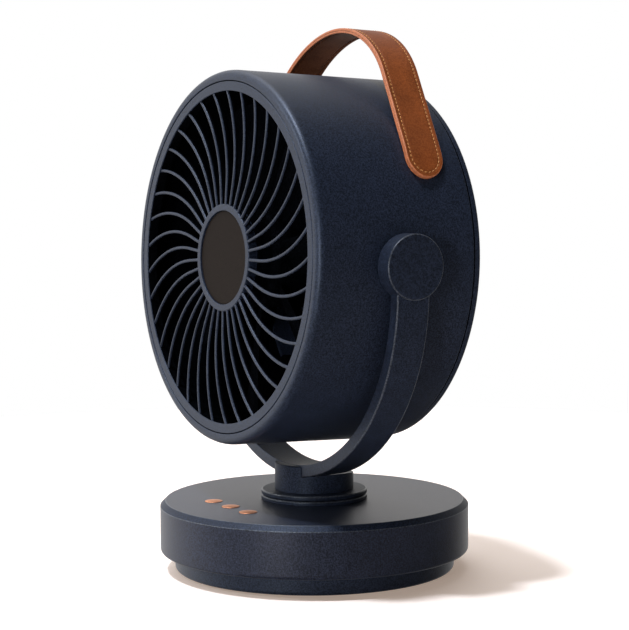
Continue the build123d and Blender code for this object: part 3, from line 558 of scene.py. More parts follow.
def cut_leather(name, tone):
    """Cut and dressed leather edge: layered fibres and a lighter tan."""
    return speckled(name, tone, (900.0, 4.0, 0.65), (0.68, 1.25), (0.4, 0.08 * MM), Roughness=0.55, IOR=1.45)


def sewing_thread(name, tone):
    """Waxed thread with a fine twist."""
    return speckled(name, tone, (5200.0, 1.0), (0.7, 1.2), (0.5, 0.06 * MM), Roughness=0.6, IOR=1.45)


def plain_metal(name, tone, rough=0.35, drawn=(1.0, 1.0, 1.0)):
    """Metal with a brushed or plated surface: fine streaks in its gloss, and faint stains."""
    finish = Finish(name, Metallic=1.0)
    streaks = finish.noise(700.0, 3.0, 0.6, finish.stretched(drawn))
    finish.mottle(finish.noise(90.0, 4.0), tone, 0.88, 1.06)
    finish.uneven_gloss(streaks, rough - 0.1, rough + 0.1)
    finish.raised(streaks, 0.12, 0.03 * MM)
    return finish.material


def soft_matt(name, tone, rough=0.8, grain=1300.0):
    """Rubber, nylon, lacquer and other plain matt stuff, with a fine uneven surface."""
    finish = Finish(name, IOR=1.45)
    pattern = finish.noise(grain)
    finish.mottle(pattern, tone, 0.75, 1.2)
    finish.uneven_gloss(pattern, rough - 0.08, rough + 0.08)
    finish.raised(pattern, 0.3, 0.05 * MM)
    return finish.material


# How each finish is made: its maker, its colour or the name of one that is set, and what differs in it
RECIPES = {
    "navy_plastic": (moulded_plastic, "plastic"),
    "base_plastic": (moulded_plastic, "plastic", 0.4, 0.5, (0.87, 0.86, 1.0)),
    "neck_plastic": (moulded_plastic, "plastic", 0.5, 0.25),
    # Painted highlight: a lighter copy of the navy plastic for rounded edges
    "worn_plastic": (moulded_plastic, "worn", 0.36, 0.5, (0.84, 0.93, 1.0)),
    # Near-black plastic for the inner parts, also used as painted shade on rib sides, the grille ring's
    # inner wall and the parting seam
    "inner_plastic": (moulded_plastic, "inner", 0.7, 0.0),
    "hub_plate": (sprayed_plate, "plate"),
    "strap_leather": (grained_leather, "leather"),
    "strap_lining": (grained_leather, "lining", 0.65),
    "strap_edge": (cut_leather, "edge"),
    "strap_thread": (sewing_thread, "thread"),
    "button_copper": (plain_metal, "copper", 0.5),
    "foot_rubber": (soft_matt, "rubber"),
    "screw_steel": (plain_metal, "steel", 0.32),
    "bronze": (plain_metal, (0.42, 0.25, 0.10), 0.4),
    "gear_nylon": (soft_matt, (0.62, 0.60, 0.54), 0.5),
    "circuit_board": (soft_matt, (0.01, 0.09, 0.03), 0.4, 400.0),
    "battery_wrap": (soft_matt, (0.03, 0.10, 0.30), 0.35),
    "copper_winding": (plain_metal, (0.55, 0.20, 0.08), 0.4, (1.0, 8.0, 1.0)),
    "magnet": (plain_metal, (0.10, 0.10, 0.11), 0.5),
}
FINISHES = {}


def finish_of(name):
    """One of the fan's materials, made when it is first asked for, with the colours that are set."""
    if name not in FINISHES:
        maker, tone, *settings = RECIPES[name]
        tone = tuple(getattr(bpy.context.scene.fan_colours, tone)) if isinstance(tone, str) else tone
        FINISHES[name] = maker(name, tone, *settings)
    return FINISHES[name]


# Pieces

def screw_group(name, places, axis, node):
    """Pan-head screws: a domed head with a cross sunk into it, as a height over rings of points, and a
    shank. The dome's fall and the cross's depth are shares of the height, and its arms of the radius."""
    sizes = bpy.context.scene.fan_head
    head, tall = sizes.screw_radius, sizes.screw_height
    shank, bite = 0.55 * head, 3.0 * tall
    fall, depth = 0.35, 0.5
    arm_half, arm_reach, slope = 0.17, 0.68, 0.06
    rings = np.concatenate((np.linspace(0.0, 0.94, 22), (0.98, 1.0))) * head
    top = spun(np.stack((rings, np.full_like(rings, tall)), axis=-1), SCREW_STEPS)
    x, y = abs(top[..., 0]), abs(top[..., 1])
    narrow, wide = np.minimum(x, y) / head, np.maximum(x, y) / head
    cross = np.clip((arm_half - narrow) / slope, 0, 1) * np.clip((arm_reach - wide) / slope, 0, 1)
    top[..., 2] *= 1 - fall * (np.hypot(x, y) / head) ** 3 - depth * cross
    side = np.array(((head, 0.0), (shank, 0.0), (shank, -bite), (0.0, -bite)))
    one = np.concatenate((top, spun(side, SCREW_STEPS)))
    sheets = [grid(placed(one, axes_along(place, axis)), wrap=True) for place in places]
    settle(shell(name, sheets, "screw_steel"), node)


# Width and height of the rim that holds a button under the base's top
BUTTON_RIM, BUTTON_RIM_HEIGHT = 0.9 * MM, 1.0 * MM


def button_place(name):
    """Radius of the part of a button that shows, inside its hidden rim, and the button's own axes."""
    low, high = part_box(name)
    middle = (low + high) / 2
    return (high.x - low.x) / 2 - BUTTON_RIM, upright_at(middle.x, middle.y)


class FAN_OT_base(bpy.types.Operator):
    """Makes the base casing, its foot, the rubber feet and the screws below"""

    bl_idname = "fan.base"
    bl_label = "Base"

    def execute(self, context):
        sizes, head = context.scene.fan_base, context.scene.fan_head
        bush = upright_reach("swivel_bush")[0]
        slope, edge = sizes.top_chamfer, sizes.chamfer_round
        inside, ceiling = BASE_RADIUS - sizes.wall, BASE_TOP - sizes.top_wall
        rim, brim = (BASE_RADIUS - slope, BASE_TOP), (BASE_RADIUS, BASE_TOP - slope)
        profile = outline(
            (bush, BASE_TOP), (*rim, edge), (*brim, edge), (BASE_RADIUS, BASE_BOTTOM, sizes.lower_round),
            (inside, BASE_BOTTOM), (inside, ceiling), (bush, ceiling))
        # The chamfer's two rounded edges take the painted edge highlight; the chamfer between them a duller
        # gloss
        worn = rows_near(profile, rim, edge) | rows_near(profile, brim, edge)
        slots = np.where(worn, 2, rows_near(profile, (BASE_RADIUS, BASE_TOP), slope))
        casing = shell("base_casing", [turned(profile, slot=slots)],
                       "base_plastic", "neck_plastic", "worn_plastic")
        cut(casing, [self.button_hole(name, sizes.button_gap) for name in BUTTONS] + [self.inlet_hole()])
        settle(casing, "base_shell")
        self.foot(sizes, head)
        self.rubber_feet()
        return {"FINISHED"}

    def button_hole(self, name, gap):
        """Round hole for a button, through the base's top."""
        radius, where = button_place(name)
        depth, past = 5.0 * MM, 1.0 * MM
        hole = disc_profile(radius + gap, BASE_TOP - depth, BASE_TOP + past)
        return shell("hole", [turned(hole, where, PAD_STEPS)])

    def inlet_hole(self):
        """Rounded slot in the rear wall for the charging inlet."""
        low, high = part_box("usb_inlet")
        gap, past = 0.2 * MM, 2.0 * MM
        half, tall = (high.x - low.x) / 2 + gap, (high.z - low.z) / 2 + gap
        end_round = 0.9 * tall
        level = (high.z + low.z) / 2
        path = np.array(((0.0, low.y, level), (0.0, high.y + past, level)))
        section = bar_section(half, -tall, tall, end_round, end_round, lead=0.05)
        return shell("hole", [carried(section, path, ACROSS, UP)])

    def foot(self, sizes, head):
        """Foot with its flange and four sunk screws."""
        flange_height, foot_wall, floor_thick = 11.0 * MM, 7.4 * MM, 3.0 * MM
        radius, well = sizes.foot_radius, sizes.foot_radius - foot_wall
        flange_top, floor = FOOT_BOTTOM + flange_height, FOOT_BOTTOM + floor_thick
        profile = outline(
            (0.0, FOOT_BOTTOM), (radius, FOOT_BOTTOM, sizes.lower_round), (radius, BASE_BOTTOM),
            (FLANGE_RADIUS, BASE_BOTTOM), (FLANGE_RADIUS, flange_top), (well, flange_top), (well, floor),
            (0.0, floor))
        foot = shell("base_foot", [turned(profile)], "navy_plastic")
        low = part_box("base_screws")[0]
        level = low.z + head.screw_height
        spots = on_circle(4, np.sqrt(2) * (-low.x - head.screw_radius), np.pi / 4)
        pocket = disc_profile(head.screw_radius + PLAY, FOOT_BOTTOM - MM, level)
        cut(foot, [shell("pocket", [turned(pocket, upright_at(x, y), SCREW_STEPS)]) for x, y in spots])
        settle(foot, "base_plate")
        screw_group("foot_screws", [(x, y, level) for x, y in spots], -UP, "base_screws")

    def rubber_feet(self):
        """Four round rubber feet, rounded below."""
        low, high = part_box("foot_pads")
        radius, edge = 6.5 * MM, 0.4 * MM
        pad = disc_profile(radius, low.z, high.z, 0.0, edge)
        spots = on_circle(4, high.x - radius)
        sheets = [turned(pad, upright_at(x, y), PAD_STEPS) for x, y in spots]
        settle(shell("rubber_feet", sheets, "foot_rubber"), "foot_pads")


class FAN_OT_buttons(bpy.types.Operator):
    """Makes the three plated push buttons"""

    bl_idname = "fan.buttons"
    bl_label = "Buttons"

    def execute(self, context):
        sizes = context.scene.fan_base
        dome_steps, slant = 13, 0.01 * MM
        share = np.linspace(1.0, 0.0, dome_steps)[1:]
        for name in BUTTONS:
            low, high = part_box(name)
            radius, where = button_place(name)
            shoulder, rim = high.z - sizes.button_dome, low.z + BUTTON_RIM_HEIGHT
            edge = outline((radius + BUTTON_RIM, low.z), (radius + BUTTON_RIM, rim), (radius, rim),
                           (radius, shoulder, sizes.button_round), (0.0, shoulder + slant))[:-1]
            rise = sizes.button_dome * (1 - share ** 2)
            dome = np.stack((edge[-1, 0] * share, edge[-1, 1] + rise), axis=-1)
            profile = np.concatenate((((0.0, low.z),), edge, dome))
            cap = shell(name + "_cap", [turned(profile, where, PAD_STEPS, closed=False)], "button_copper")
            settle(cap, name)
        return {"FINISHED"}


YOKE_HALF_WIDTH = 8.5 * MM


def yoke_path(arm, centre, top, steps=97):
    """Middle line of the band: up each arm and round a half circle below, with its outward direction."""
    outward = round_points(np.linspace(np.pi, FULL_TURN, steps)) @ np.stack((ACROSS, UP))
    bend = centre + arm * outward
    rise = (top - centre[2]) * UP
    path = np.concatenate((bend[:1] + rise, bend, bend[-1:] + rise))
    return path, np.concatenate((outward[:1], outward, outward[-1:]))


class FAN_OT_neck(bpy.types.Operator):
    """Makes the two collars, the neck, the yoke and the covers on its arms"""

    bl_idname = "fan.neck"
    bl_label = "Neck and yoke"

    def execute(self, context):
        sizes, yoke = context.scene.fan_base, context.scene.fan_yoke
        for name, node in (("lower_collar", "base_collar"), ("upper_collar", "neck_collar")):
            self.collar(sizes, name, node)
        low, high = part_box("yoke")
        arm = high.x - yoke.thick / 2
        centre = np.array((0.0, (low.y + high.y) / 2, low.z + high.x))
        self.column(sizes, yoke, arm, centre)
        self.yoke(yoke, arm, centre)
        for side, node in ((-1, "pivot_cap_left"), (1, "pivot_cap_right")):
            self.cap(yoke, side, node)
        return {"FINISHED"}

    def collar(self, sizes, name, node):
        """Flat ring round the spindle, with a painted highlight on its upper edge."""
        bore = upright_reach("swivel_spindle")[0]
        radius, low, high = upright_reach(node)
        edge, lower_edge = sizes.collar_round, 0.25 * MM
        profile = outline((bore, low), (radius, low, lower_edge), (radius, high, edge), (bore, high))
        worn = rows_near(profile, (radius, high), edge)
        ring = shell(name, [turned(profile, slot=worn)], "neck_plastic", "worn_plastic")
        settle(ring, node)

    def column(self, sizes, yoke, arm, centre):
        """Neck with a round saddle for the yoke, which a lip closes in front."""
        profile = disc_profile(COLUMN_RADIUS, COLUMN_BOTTOM, COLUMN_TOP, sizes.column_round)
        column = shell("neck", [turned(profile)], "neck_plastic")
        front = centre - (YOKE_HALF_WIDTH + yoke.seat_gap) * BACKWARD
        saddle_long = 4 * YOKE_HALF_WIDTH
        saddle = disc_profile(arm + yoke.thick / 2 + yoke.seat_gap, 0.0, saddle_long)
        cut(column, [shell("saddle", [turned(saddle, axes_along(front, BACKWARD), SADDLE_STEPS)])])
        settle(column, "neck_column")

    def yoke(self, yoke, arm, centre):
        """Band of the yoke, a rounded flat section carried along its path, with a round pad at the top of
        each arm. Its inner side is duller, and its outer edges carry a painted highlight."""
        half, edge, pad_gap = yoke.thick / 2, yoke.edge_round, 0.3 * MM
        section = bar_section(half, -YOKE_HALF_WIDTH, YOKE_HALF_WIDTH, edge, edge)
        inside = np.isclose(section[:, 0], -half)
        # The outer long edges take the painted edge highlight; the inner side a duller gloss
        worn = [rows_near(section, (half, end), edge)[:, 0] for end in (-YOKE_HALF_WIDTH, YOKE_HALF_WIDTH)]
        slots = np.where(worn[0] | worn[1], 2, inside & np.roll(inside, -1))
        path, outward = yoke_path(arm, centre, PIVOT[2])
        sheets = [carried(section, path, outward, BACKWARD, slots)]
        pad = disc_profile(yoke.cap_radius - yoke.cap_wall - pad_gap, -half, half)
        for side in (-1, 1):
            top = (side * arm, PIVOT[1], PIVOT[2])
            sheets.append(turned(pad, axes_along(top, side * ACROSS), PAD_STEPS))
        band = shell("yoke_band", sheets, "navy_plastic", "neck_plastic", "worn_plastic")
        settle(band, "yoke")

    def cap(self, yoke, side, node):
        """Round cover: a flat face with a narrow rounded edge that carries a painted highlight, and a plain
        skirt.
        """
        low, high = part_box(node)
        inner, face = sorted((abs(low.x), abs(high.x)))
        radius, hollow = yoke.cap_radius, yoke.cap_radius - yoke.cap_wall
        face_thick, skirt_edge = 1.9 * MM, 0.2 * MM
        ceiling = face - face_thick
        profile = outline((0.0, ceiling), (hollow, ceiling), (hollow, inner), (radius, inner, skirt_edge),
                          (radius, face, yoke.cap_round), (0.0, face))
        where = axes_along((0.0, PIVOT[1], PIVOT[2]), side * ACROSS)
        # The face's rounded edge takes the painted edge highlight
        worn = rows_near(profile, (radius, face), yoke.cap_round)
        cover = shell(node + "_cover", [turned(profile, where, slot=worn)], "navy_plastic", "worn_plastic")
        settle(cover, node)


class FAN_OT_drum(bpy.types.Operator):
    """Makes the drum's shell with its rounded front edge, and the posts inside it"""

    bl_idname = "fan.drum"
    bl_label = "Drum"

    def execute(self, context):
        sizes = context.scene.fan_head
        radius, bore, seam = sizes.radius, sizes.radius - sizes.wall, sizes.radius - sizes.lip
        front = GRILLE_FRONT + sizes.lip_proud
        rear = COVER_FACE + sizes.rear_band + sizes.parting_gap
        ledge_wide, ledge_thick, inner_rows = 2.6 * MM, 2.0 * MM, 5
        ledge, ledge_back = seam - ledge_wide, GRILLE_BACK - ledge_thick
        profile = outline(
            (bore, rear), (radius, rear, sizes.parting_round), (radius, front, sizes.lip_round),
            (seam, front, sizes.edge_round), (seam, GRILLE_BACK), (ledge, GRILLE_BACK), (ledge, ledge_back),
            (bore, ledge_back - (bore - ledge)))
        # The drum's inner walls take the near-black finish: black plastic inside, and painted shade where
        # they show behind the grille
        inside = np.arange(len(profile)) >= len(profile) - inner_rows
        sheets = [turned(profile, HEAD, DRUM_STEPS, slot=inside[:, None])]
        post_radius, post_long = 4.0 * MM, 14.0 * MM
        post = disc_profile(post_radius, rear, rear + post_long)
        for x, y in on_circle(4, head_reach("rear_screws")[0] - sizes.screw_radius, np.pi / 4):
            sheets.append(turned(post, (placed((x, y, 0.0), HEAD), HEAD[1]), POST_STEPS, slot=1))
        boss_radius, boss_from, boss_to = 10.0 * MM, 9.0 * MM, 0.3 * MM
        boss = disc_profile(boss_radius, radius - boss_from, radius - boss_to)
        for side in (-1, 1):
            sheets.append(turned(boss, axes_along(PIVOT, side * ACROSS), SCREW_STEPS))
        settle(shell("drum", sheets, "navy_plastic", "inner_plastic"), "head_shell")
        return {"FINISHED"}


class FAN_OT_grille(bpy.types.Operator):
    """Makes the front grille with its swept ribs, and the bare plate in its hub"""

    bl_idname = "fan.grille"
    bl_label = "Front grille"

    def execute(self, context):
        sizes = context.scene.fan_head
        ring_edge, hub_edge, pocket_edge, plate_edge = 0.4 * MM, 0.6 * MM, 0.35 * MM, 0.3 * MM
        opening = GRILLE_RADIUS - sizes.ring
        profile = outline((opening, GRILLE_BACK), (GRILLE_RADIUS, GRILLE_BACK),
                          (GRILLE_RADIUS, GRILLE_FRONT, ring_edge), (opening, GRILLE_FRONT, ring_edge))
        # The ring's inner wall is painted near black, as painted shade behind the ring
        inside = np.arange(len(profile)) == len(profile) - 1
        ring = turned(profile, HEAD, DRUM_STEPS, slot=inside[:, None])
        radius, pocket = sizes.hub_radius, sizes.hub_radius - sizes.hub_rim
        front = GRILLE_FRONT - sizes.hub_sink
        hub = turned(outline(
            (0.0, GRILLE_BACK), (radius, GRILLE_BACK), (radius, front, hub_edge),
            (pocket, front, pocket_edge), (pocket, PLATE_BACK), (0.0, PLATE_BACK)), HEAD)
        sheets = [ring, hub, self.ribs(sizes, opening)]
        settle(shell("grille", sheets, "navy_plastic", "inner_plastic"), "front_grille")
        plate = turned(disc_profile(PLATE_RADIUS, PLATE_BACK, PLATE_FRONT, plate_edge), HEAD)
        settle(shell("hub_plate", [plate], "hub_plate"), "hub_badge")
        return {"FINISHED"}

    def ribs(self, sizes, opening):
        """Every rib at once: a section with a round front goes out straight, then along an arc tangent to
        that line. The sides behind the round front are painted near black, as painted shade between the
        ribs."""
        bend = sizes.hub_radius + sizes.rib_straight
        reach = opening + sizes.ring / 2
        end = reach * round_points(sizes.rib_sweep) - (bend, 0.0)
        radius = (end @ end) / (2 * end[1])
        curl_steps, front_deep = 40, 1.3 * sizes.rib_round
        turns = np.linspace(0, np.arctan2(end[0], radius - end[1]), curl_steps)
        curl = np.stack((bend + radius * np.sin(turns), radius * (1 - np.cos(turns))), axis=-1)
        start = ((sizes.hub_radius - sizes.hub_rim / 2, 0.0), (sizes.hub_radius + MM, 0.0))
        line = np.concatenate((start, curl))
        leans = np.concatenate((np.zeros(2), turns))
        phases = sizes.rib_phase + FULL_TURN * np.arange(sizes.rib_count) / sizes.rib_count
        spin = np.stack((round_points(phases), round_points(phases + np.pi / 2)), axis=-1)
        flat = np.einsum("cij,rj->cri", spin, line)
        sideways = np.einsum("cij,rj->cri", spin, np.stack((-np.sin(leans), np.cos(leans)), axis=-1))
        half, depth, back_edge = sizes.rib_width / 2, sizes.rib_depth, 0.2 * MM
        path = PIVOT + flat @ HEAD[1][:2] + (GRILLE_FRONT - sizes.rib_sink - depth) * FORWARD
        section = bar_section(half, 0.0, depth, back_edge, sizes.rib_round, steps=4)
        # Rib sides behind the round front are painted near black, as painted shade between the ribs
        shaded_sides = section[:, 1] < depth - front_deep
        return carried(section, path, sideways @ HEAD[1][:2], FORWARD, shaded_sides | np.roll(shaded_sides, -1))


class FAN_OT_rear_cover(bpy.types.Operator):
    """Makes the slotted rear cover and its screws"""

    bl_idname = "fan.rear_cover"
    bl_label = "Rear cover"

    def execute(self, context):
        sizes = context.scene.fan_head
        margin, spigot_wall, seat_wall, seat_deep = 2.0 * MM, 2.0 * MM, 2.4 * MM, 10.0 * MM
        middle, half_bridge = (sizes.slot_start + sizes.slot_end) / 2, sizes.slot_bridge / 2
        inner, outer = sizes.slot_start - margin, sizes.slot_end + margin
        rings = ((inner, sizes.slot_start, middle - half_bridge, middle),
                 (middle, middle + half_bridge, sizes.slot_end, outer))
        sheets = [sheet for ring in rings for sheet in self.slotted_ring(sizes, *ring)]
        back, band = COVER_FACE + sizes.rear_plate, COVER_FACE + sizes.rear_band
        bore = sizes.radius - sizes.wall - PLAY
        spigot = bore - spigot_wall
        rim = outline(
            (outer, COVER_FACE), (COVER_RADIUS, COVER_FACE, sizes.rear_round),
            (COVER_RADIUS, band, sizes.parting_round), (bore, band), (bore, COVER_END), (spigot, COVER_END),
            (spigot, back), (outer, back))
        motor, seat = head_reach("motor_can")[0] + PLAY, back + sizes.screw_sink
        wall, brim = motor + seat_wall, seat + seat_deep
        face = outline((0.0, COVER_FACE), (inner, COVER_FACE))
        socket = outline((inner, back), (wall, back), (wall, brim), (motor, brim), (motor, seat),
                         (0.0, seat))
        # The rounded edge beside the parting gap is painted near black, as a painted shadow line in the seam
        gap = rows_near(rim, (COVER_RADIUS, band), sizes.parting_round)[:-1]
        for profile, slot in ((rim, gap), (face, 0), (socket, 0)):
            sheets.append(turned(profile, HEAD, 4 * sizes.slot_count, closed=False, slot=slot))
        cover = shell("back_cover", sheets, "navy_plastic", "inner_plastic")
        places = {}
        for node, number, first in (("rear_screws", 4, np.pi / 4), ("motor_screws", 3, np.pi / 2)):
            spots = on_circle(number, head_reach(node)[0] - sizes.screw_radius, first)
            places[node] = [placed((x, y, COVER_FACE + sizes.screw_sink), HEAD) for x, y in spots]
        pocket_long = 3.0 * MM
        pocket = disc_profile(sizes.screw_radius + PLAY, -pocket_long, 0.0)
        cut(cover, [shell("pocket", [turned(pocket, (place, HEAD[1]), SCREW_STEPS)])
                    for spots in places.values() for place in spots])
        settle(cover, "rear_cover")
        for node, spots in places.items():
            screw_group(node + "_heads", spots, -FORWARD, node)
        return {"FINISHED"}

    def slotted_ring(self, sizes, start, slot_start, slot_end, end):
        """Ring of radial slots. Half of one cell is worked out over the radius and across: from the cell's
        side to the slot's edge on the face, down through the plate, and back to the side; it is mirrored
        and repeated. It makes three sheets, because the wall through the plate has only the slot's rows."""
        half, slope, plate = sizes.slot_width / 2, sizes.slot_edge, sizes.rear_plate
        bow = half * (1 - np.cos(np.linspace(0, np.pi / 2, 9)))
        radii = np.concatenate(((start,), slot_start + bow, slot_end - bow[::-1], (end,)))
        into = np.clip(np.minimum(radii - slot_start, slot_end - radii), 0, half)
        gap = np.sqrt(np.maximum(half ** 2 - (half - into) ** 2, 0))
        edge = np.arcsin(gap / radii)
        widened = np.where(gap > 0, np.arcsin(np.minimum((gap + slope) / radii, 1)), 0)
        cell = np.full_like(radii, np.pi / sizes.slot_count)
        turns = np.stack((cell, (cell + widened) / 2, widened, edge, edge, (cell + edge) / 2, cell), axis=-1)
        depths = np.array((0.0, 0.0, 0.0, slope, plate, plate, plate))
        depths = np.where(gap[:, None] > 0, depths, np.where(depths < plate, 0.0, plate))
        repeats = FULL_TURN / sizes.slot_count * np.arange(sizes.slot_count)
        turns = repeats[:, None, None, None] + np.array((-1.0, 1.0))[:, None, None] * turns
        points = np.stack((radii[:, None] * np.cos(turns), radii[:, None] * np.sin(turns),
                           np.broadcast_to(COVER_FACE + depths, turns.shape)), axis=-1)
        points = placed(points.reshape(-1, *points.shape[2:]), HEAD)
        return grid(points[:, :, :4]), grid(points[:, 1:-1, 3:5]), grid(points[:, :, 4:])


class FAN_OT_impeller(bpy.types.Operator):
    """Makes the fan's hub and twisted blades"""

    bl_idname = "fan.impeller"
    bl_label = "Impeller"

    def execute(self, context):
        radius, long, wall, behind_grille = 23.5 * MM, 27.0 * MM, 2.0 * MM, 12.0 * MM
        shaft, boss = 2.0 * MM, 5.5 * MM
        front = GRILLE_BACK - behind_grille
        rear, middle, ceiling, inside = front - long, front - long / 2, front - wall, radius - wall
        hub = turned(outline(
            (shaft, front), (radius, front, wall), (radius, rear), (inside, rear), (inside, ceiling),
            (boss, ceiling), (boss, middle), (shaft, middle)), HEAD)
        blades = self.blades(context.scene.fan_head, radius - wall / 2, middle)
        settle(shell("fan_wheel", [hub, blades], "inner_plastic"), "impeller")
        return {"FINISHED"}

    def blades(self, sizes, root, middle):
        """Every blade at once: over the radius the chord widens and the pitch flattens, and across the
        chord the two faces bow apart from the leading to the trailing edge."""
        share = np.linspace(0, 1, 25)[:, None]
        radii = root + share * (FAN_RADIUS - root)
        root_chord, chord_gain, root_pitch, pitch_fall, widest = 27.0, 15.0, 48.0, 21.0, 0.98
        chord = (root_chord + chord_gain * share) * MM
        pitch = np.radians(root_pitch - pitch_fall * share)
        across = np.cos(np.linspace(0, np.pi, 17))
        bow = 1 - across ** 2
        along = np.concatenate((across, across[-2:0:-1])) * chord / 2
        faces = np.concatenate((bow * (sizes.blade_camber + sizes.blade_thick / 2),
                                bow[-2:0:-1] * (sizes.blade_camber - sizes.blade_thick / 2)))
        y = along * np.cos(pitch) - faces * np.sin(pitch)
        z = middle + along * np.sin(pitch) + faces * np.cos(pitch)
        x = np.sqrt(radii ** 2 - np.minimum(y ** 2, (widest * radii) ** 2))
        turns = FULL_TURN * np.arange(sizes.blade_count)[:, None, None] / sizes.blade_count
        points = np.stack((x * np.cos(turns) - y * np.sin(turns), x * np.sin(turns) + y * np.cos(turns),
                           np.broadcast_to(z, (sizes.blade_count, *z.shape))), axis=-1)
        return grid(placed(with_ends(points), HEAD), wrap=True)


class Strap:
    """The strap laid flat: x runs along it from the top, y across it. It is lifted onto the arch."""

    def __init__(self, sizes, drum):
        self.sizes = sizes
        self.drum = drum + sizes.seat_gap
        self.leave = sizes.leave_angle
        apex = drum + sizes.rise - sizes.leather - sizes.lining
        slope = 1 / np.cos(self.leave)
        self.bow = (self.drum * slope - apex) / (slope - 1)
        self.bow_centre = apex - self.bow
        leaving = np.array((np.sin(self.leave), np.cos(self.leave)))
        self.bow_end = self.bow * leaving + (0.0, self.bow_centre)
        self.straight = np.linalg.norm(self.drum * leaving - self.bow_end)
        self.tip_height = self.drum * np.cos(sizes.tip_angle)
        self.tip = self.bow * self.leave + self.straight + self.drum * (sizes.tip_angle - self.leave)
        self.climb = drum + sizes.rise - self.tip_height
        self.skew = np.hypot(1.0, sizes.lean / self.climb)
        end_angle = np.arccos((self.tip_height + sizes.width / 2) / self.drum)
        self.end_long = self.drum * (sizes.tip_angle - end_angle)

    def middle(self, height):
        """How far forward the strap's middle line lies at a height: it leans back in a straight line."""
        return -self.sizes.tip_back - self.sizes.lean * (height - self.tip_height) / self.climb

    def lifted(self, x, y, rise):
        """Flat places at a height above the inner face, on the arch: a bow, a straight run, then the
        drum's own round."""
        along = abs(x)
        bow_long = self.bow * self.leave
        past = np.clip(along - bow_long, 0, self.straight)
        round_drum = np.maximum(along - bow_long - self.straight, 0) / self.drum
        turn = np.where(along < bow_long, along / self.bow, self.leave + round_drum)
        on_bow = (self.bow * np.sin(turn), self.bow_centre + self.bow * np.cos(turn))
        on_run = (self.bow_end[0] + past * np.cos(self.leave), self.bow_end[1] - past * np.sin(self.leave))
        on_drum = (self.drum * np.sin(turn), self.drum * np.cos(turn))
        where = [along < bow_long, along < bow_long + self.straight]
        u = np.select(where, (on_bow[0], on_run[0]), on_drum[0]) + rise * np.sin(turn)
        v = np.select(where, (on_bow[1], on_run[1]), on_drum[1]) + rise * np.cos(turn)
        return placed(np.stack((np.sign(x) * u, v, y * self.skew + self.middle(v)), axis=-1), HEAD)

    def loop(self, inset, side_steps=150, end_steps=28):
        """Closed line at a distance inside the strap's edge: two long sides and two round ends."""
        half = self.sizes.width / 2
        inset = np.minimum(np.asarray(inset, float), half)[..., None]
        start = self.tip - self.end_long
        sides = np.linspace(-start, start, side_steps, endpoint=False)
        turns = np.linspace(0, np.pi, end_steps, endpoint=False)
        end_x = start + (self.end_long - inset * self.end_long / half) * np.sin(turns)
        end_y = (half - inset) * np.cos(turns)
        flat_y = np.broadcast_to(half - inset, (*inset.shape[:-1], side_steps))
        flat_x = np.broadcast_to(sides, flat_y.shape)
        x = np.concatenate((flat_x, end_x, -flat_x, -end_x), axis=-1)
        y = np.concatenate((flat_y, end_y, -flat_y, -end_y), axis=-1)
        return x, y


